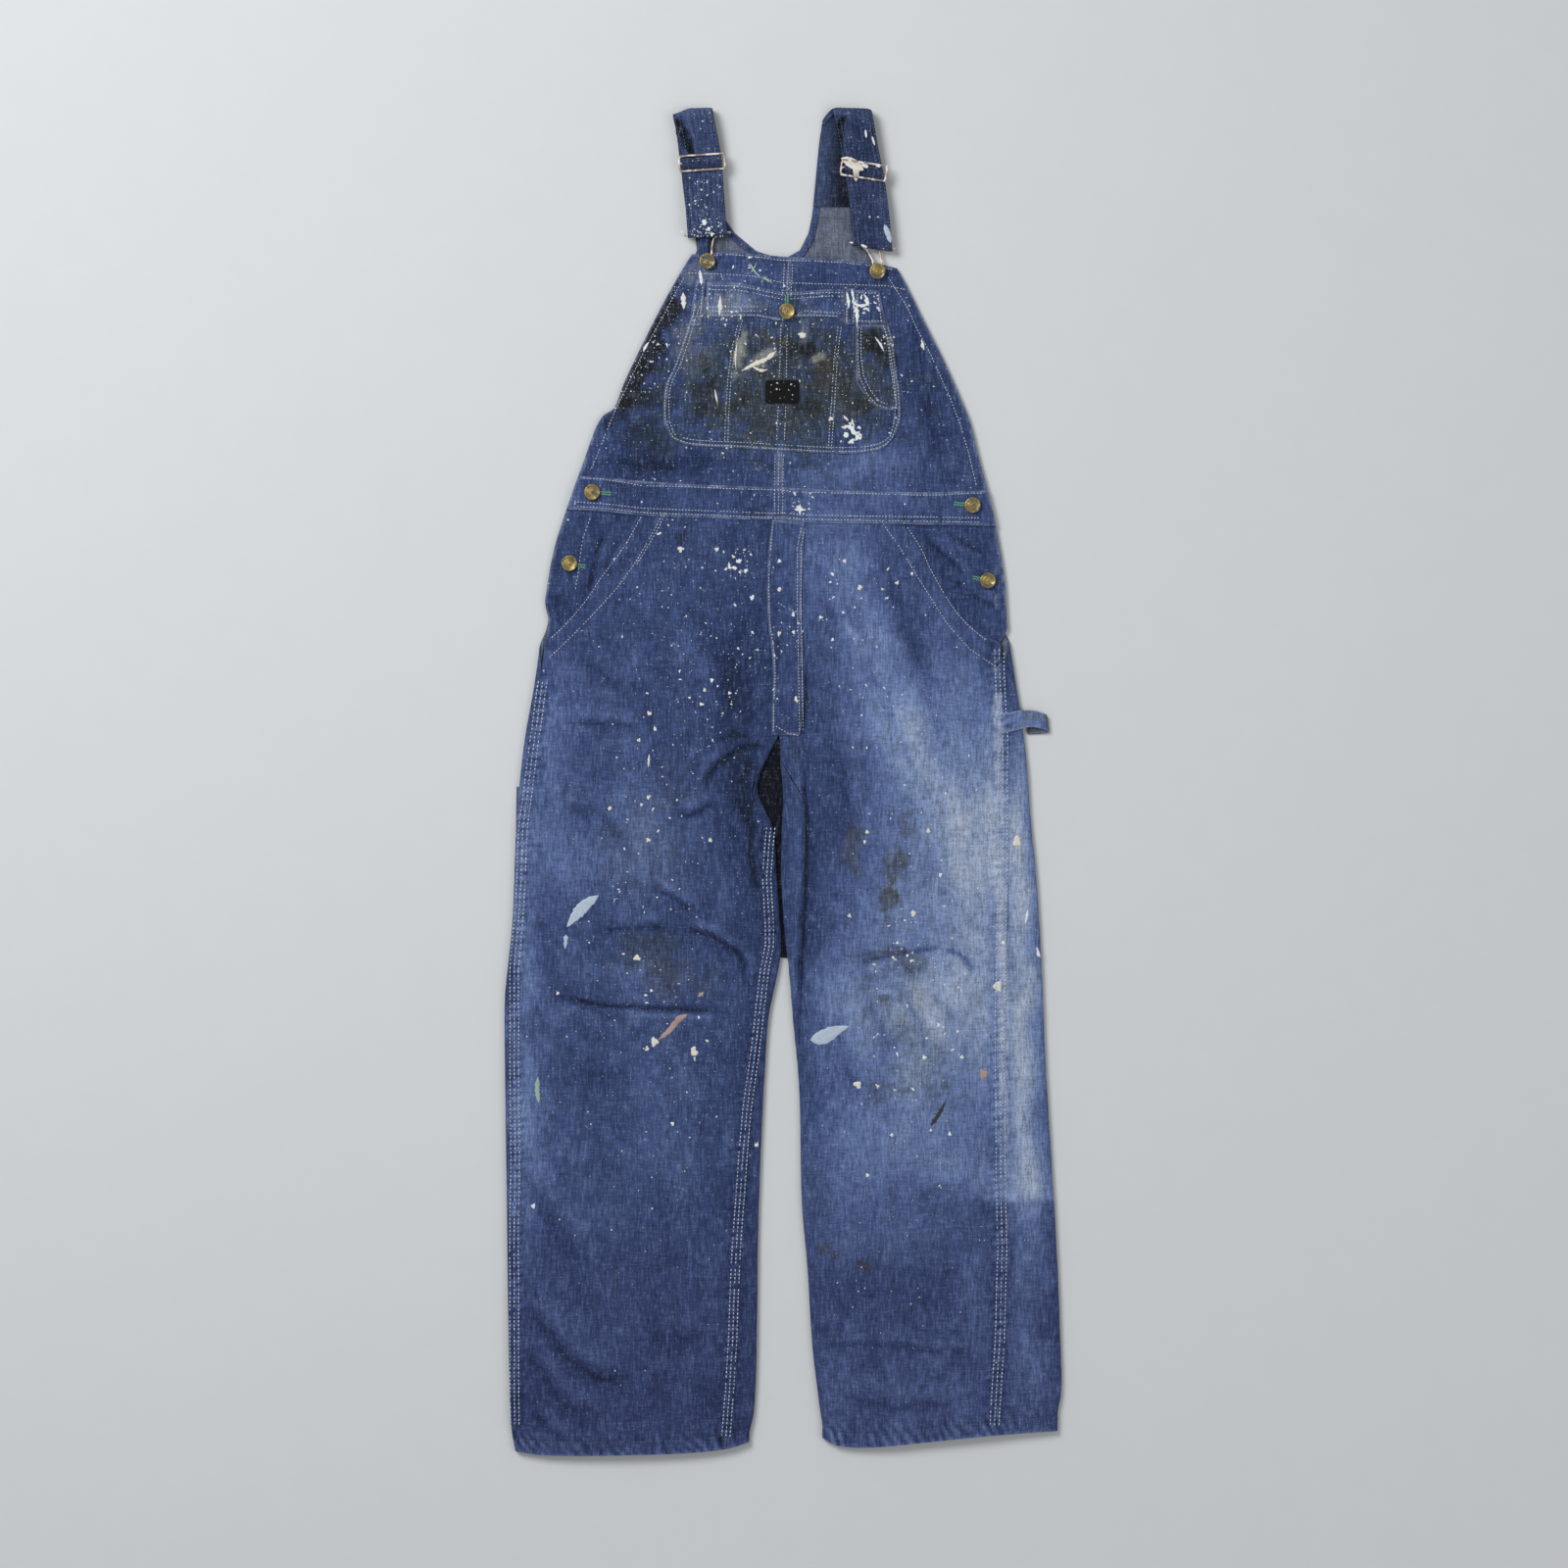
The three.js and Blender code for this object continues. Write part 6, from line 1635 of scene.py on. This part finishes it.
SMEARS = [  # colour, width, widest part, points
    ("tan", 6.5, 0.6, [(-134, -276), (-122, -266), (-112, -254), (-102, -248)]),
    ("cream", 2.4, 0.5, [(-143, 30), (-144, 16)]),
    ("black", 5, 0.7, [(174, -340), (168, -352), (158, -367)]),
    ("white", 2.2, 0.5, [(262, -136), (259, -152)]), ("white", 2.0, 0.5, [(271, -176), (275, -188)]),
    ("blue", 12.5, 0.55, [(-231, -155), (-222, -143), (-211, -131), (-197, -121)]),
    ("blue", 4.5, 0.3, [(-232, -163), (-233, -178)]),
    ("blue", 15, 0.28, [(29, -276), (42, -273), (56, -266), (70, -261)]),
    ("green", 5, 0.5, [(-262, -315), (-263, -329), (-261, -343)]),
    ("green", 2, 0.5, [(-36, 556), (-31, 547), (-24, 540)]),
    ("green", 1.8, 0.5, [(-22, 541), (-17, 537), (-11, 534)]),
    ("green", 1.3, 0.5, [(-35, 544), (-31, 550), (-28, 556)]),
    ("green", 1.5, 0.5, [(-22, 537), (-17, 541)]),
    ("white", 4.2, 0.5, [(73, 528), (76, 514), (79, 500), (79, 486)]),
    ("white", 3.4, 0.4, [(75, 512), (84, 509), (93, 512)]),
    ("white", 2.4, 0.4, [(86, 522), (90, 516), (92, 508)]),
    ("white", 3.2, 0.5, [(68, 524), (70, 514), (70, 506)]),
    ("cream", 5.0, 0.6, [(-45, 439), (-30, 447), (-18, 452), (-7, 461)]),
    ("cream", 3.0, 0.5, [(-34, 445), (-24, 440), (-16, 441)]),
    ("cream", 1.5, 0.5, [(-49, 470), (-51, 452), (-50, 440)]),
    ("white", 3.4, 0.5, [(-89, 548), (-87, 531)]), ("cream", 5.5, 0.5, [(-107, 524), (-106, 506)]),
    ("cream", 3.4, 0.5, [(-67, 520), (-68, 498)]), ("white", 2.6, 0.5, [(18, 297), (18, 285)]),
    ("white", 2.6, 0.5, [(12, 291), (25, 291)]), ("white", 2.2, 0.5, [(98, 476), (104, 468), (108, 460)]),
    ("cream", 2.2, 0.5, [(64, 392), (70, 386)]), ("cream", 1.8, 0.5, [(-73, 420), (-70, 404)]),
    ("white", 2.4, 0.5, [(-150, 461), (-144, 471)]), ("white", 2.2, 0.5, [(148, 474), (151, 462)]),
]
for colour, drops in DROPS.items():
    for k, (x, y, rx, ry, turn) in enumerate(drops):
        paint[colour].splash(x, y, rx, ry, turn, seed=k)
for k, (colour, width, widest, points) in enumerate(SMEARS):
    paint[colour].smear(points, width, seed=k, widest=widest)
random = np.random.default_rng(20)
CLUSTERS = [  # x, y, reach, number, largest radius
    (-47, 232, 16, 26, 1.6), (74, 373, 11, 22, 1.7), (-60, 130, 60, 40, 1.2), (-130, 40, 60, 34, 1.2),
    (80, 200, 40, 24, 1.3), (126, -190, 16, 10, 1.4), (140, -250, 60, 26, 1.2), (-130, -250, 60, 24, 1.2),
    (0, 420, 100, 50, 1.0), (-60, 330, 90, 26, 0.9), (90, 340, 80, 20, 0.9), (-60, 545, 60, 20, 1.3),
    (-40, 505, 50, 16, 1.3), (130, 430, 40, 14, 1.0), (-150, 240, 50, 24, 1.1), (-140, -60, 60, 22, 1.1),
    (170, -60, 60, 22, 1.1), (150, -380, 60, 16, 1.1), (5, 150, 20, 22, 1.2), (-150, 450, 30, 60, 1.0),
    (-60, 515, 24, 40, 1.1), (92, 512, 12, 24, 1.5), (112, 470, 8, 14, 1.4), (20, 300, 12, 14, 1.4),
    (0, 470, 90, 60, 0.9), (-40, 60, 60, 40, 0.9), (-150, -160, 70, 40, 1.0), (130, 40, 70, 26, 0.9),
    (90, 130, 50, 26, 0.9), (-100, 180, 80, 50, 0.9), (150, -180, 60, 40, 1.0), (-140, -340, 80, 30, 0.9),
    (130, -300, 60, 26, 0.9), (-130, -500, 80, 22, 0.8), (140, -520, 80, 18, 0.8),
]
for k, (cx, cy, reach, number, largest) in enumerate(CLUSTERS):
    for n in range(number):
        angle, far = random.uniform(0, 2 * math.pi), reach * math.sqrt(random.uniform(0, 1))
        size = 0.85 * largest * random.uniform(0.3, 1) ** 1.9
        x, y = cx + far * math.cos(angle), cy + far * math.sin(angle) * 1.2
        if OUTER_R(y) + 8 < x < OUTER_L(y) - 8 and (y > 50 or abs(x) > 40) and y < BIB_TOP(x) - 4:
            tone = "white" if random.random() < 0.75 else "cream"
            tall, turn = size * random.uniform(0.9, 2.2), random.uniform(0, 180)
            paint[tone].splash(x, y, size, tall, turn, seed=n, height=0.12)


def strap_top(side, lift):
    """Height of a strap's upper face at each point, raised by lift."""
    points = STRAP_TOPS[side]

    def at(x, y):
        far = (np.ravel(x)[:, None] - points[:, 0]) ** 2 + (np.ravel(y)[:, None] - points[:, 1]) ** 2
        highest = np.where(far < 4, points[:, 2], -1).max(1)
        return np.where(highest > 0, highest, SLIDE_HEIGHT).reshape(np.shape(x)) + lift
    return at


LEFT_STRAP_SMEARS = [  # colour, width, points
    ("cream", 11, [(62, 667), (70, 663), (80, 657), (86, 653)]),
    ("cream", 7, [(76, 662), (78, 652), (78, 642)]),
    ("white", 5, [(84, 661), (91, 656)]), ("white", 3.4, [(98, 660), (104, 657)]),
    ("white", 2.4, [(88, 697), (89, 688)]), ("white", 2.2, [(95, 690), (98, 680)]),
    ("blue", 6, [(108, 596), (112, 586), (115, 576)]), ("white", 3, [(83, 574), (90, 571)]),
]
for colour, width, points in LEFT_STRAP_SMEARS:
    paint[colour].smear(points, width, height=0.4, surface_at=strap_top("left", 0.2))
for x, y, reach in ((-84, 598, 2.2), (-79, 591, 1.6), (-76, 585, 1.4), (-108, 588, 1.2)):
    paint["white"].splash(x, y, reach, reach * 1.3, surface_at=strap_top("right", 0.0))
for n in range(16):  # specks on the patch
    x, y = PATCH_X + random.uniform(-15, 15), PATCH_Y + random.uniform(-10, 10)
    size = random.uniform(0.3, 0.9)
    paint["green" if n % 3 else "cream"].splash(x, y, size, size * 1.4, 50 * n, seed=n, height=0.15,
                                               surface_at=lambda x, y: surface(x, y) + LAYER)
for n in range(120):  # specks on the right strap
    y = 583 + 66 * random.random() ** 1.8
    x = float(STRAPS["right"]["before"](y)) + random.uniform(-18, 18)
    size = 0.72 * random.uniform(0.35, 1) ** 1.8
    tall, turn = size * random.uniform(0.8, 2), random.uniform(0, 180)
    paint["white"].splash(x, y, size, tall, turn, seed=n, height=0.15, surface_at=strap_top("right", 0.0))
for pools in paint.values():
    pools.make()


FLOOR = plain_material("pale_floor", srgb(204, 207, 208), 0.9, 40, 0.006, depth_mm=0.02)
FLOOR_SIZE = 14  # metres
bpy.ops.mesh.primitive_plane_add(size=FLOOR_SIZE, location=(0, 0, 0))
floor = bpy.context.object
floor.name = "floor"
floor.data.materials.append(FLOOR)


def area_light(name, place, size, power):
    """A round softbox that faces the middle of the garment."""
    data = bpy.data.lights.new(name, "AREA")
    data.shape, data.size, data.energy = "DISK", size, power
    lamp = bpy.data.objects.new(name, data)
    bpy.context.collection.objects.link(lamp)
    lamp.location = place
    lamp.rotation_euler = lamp.location.to_track_quat("Z", "Y").to_euler()


area_light("key_softbox", (-2.0, 1.9, 3.0), 2.0, 118)
area_light("fill_softbox", (2.4, -0.8, 3.4), 3.0, 34)
world = bpy.data.worlds.new("studio")
bpy.context.scene.world = world
world.use_nodes = True
world.node_tree.nodes["Background"].inputs["Color"].default_value = (0.97, 0.98, 1.0, 1)
world.node_tree.nodes["Background"].inputs["Strength"].default_value = 0.36

LENS, SENSOR = 100, 36
VIEW_X, VIEW_Y, VIEW_WIDTH = 1, -2, 1.68  # the picture's middle in millimetres, its width in metres
camera_data = bpy.data.cameras.new("overhead")
camera_data.lens, camera_data.sensor_width = LENS, SENSOR
camera = bpy.data.objects.new("overhead", camera_data)
bpy.context.collection.objects.link(camera)
camera.location = ((VIEW_X + SHIFT[0]) / 1000, (VIEW_Y + SHIFT[1]) / 1000, VIEW_WIDTH * LENS / SENSOR)
bpy.context.scene.camera = camera
bpy.context.scene.view_settings.view_transform = "Standard"
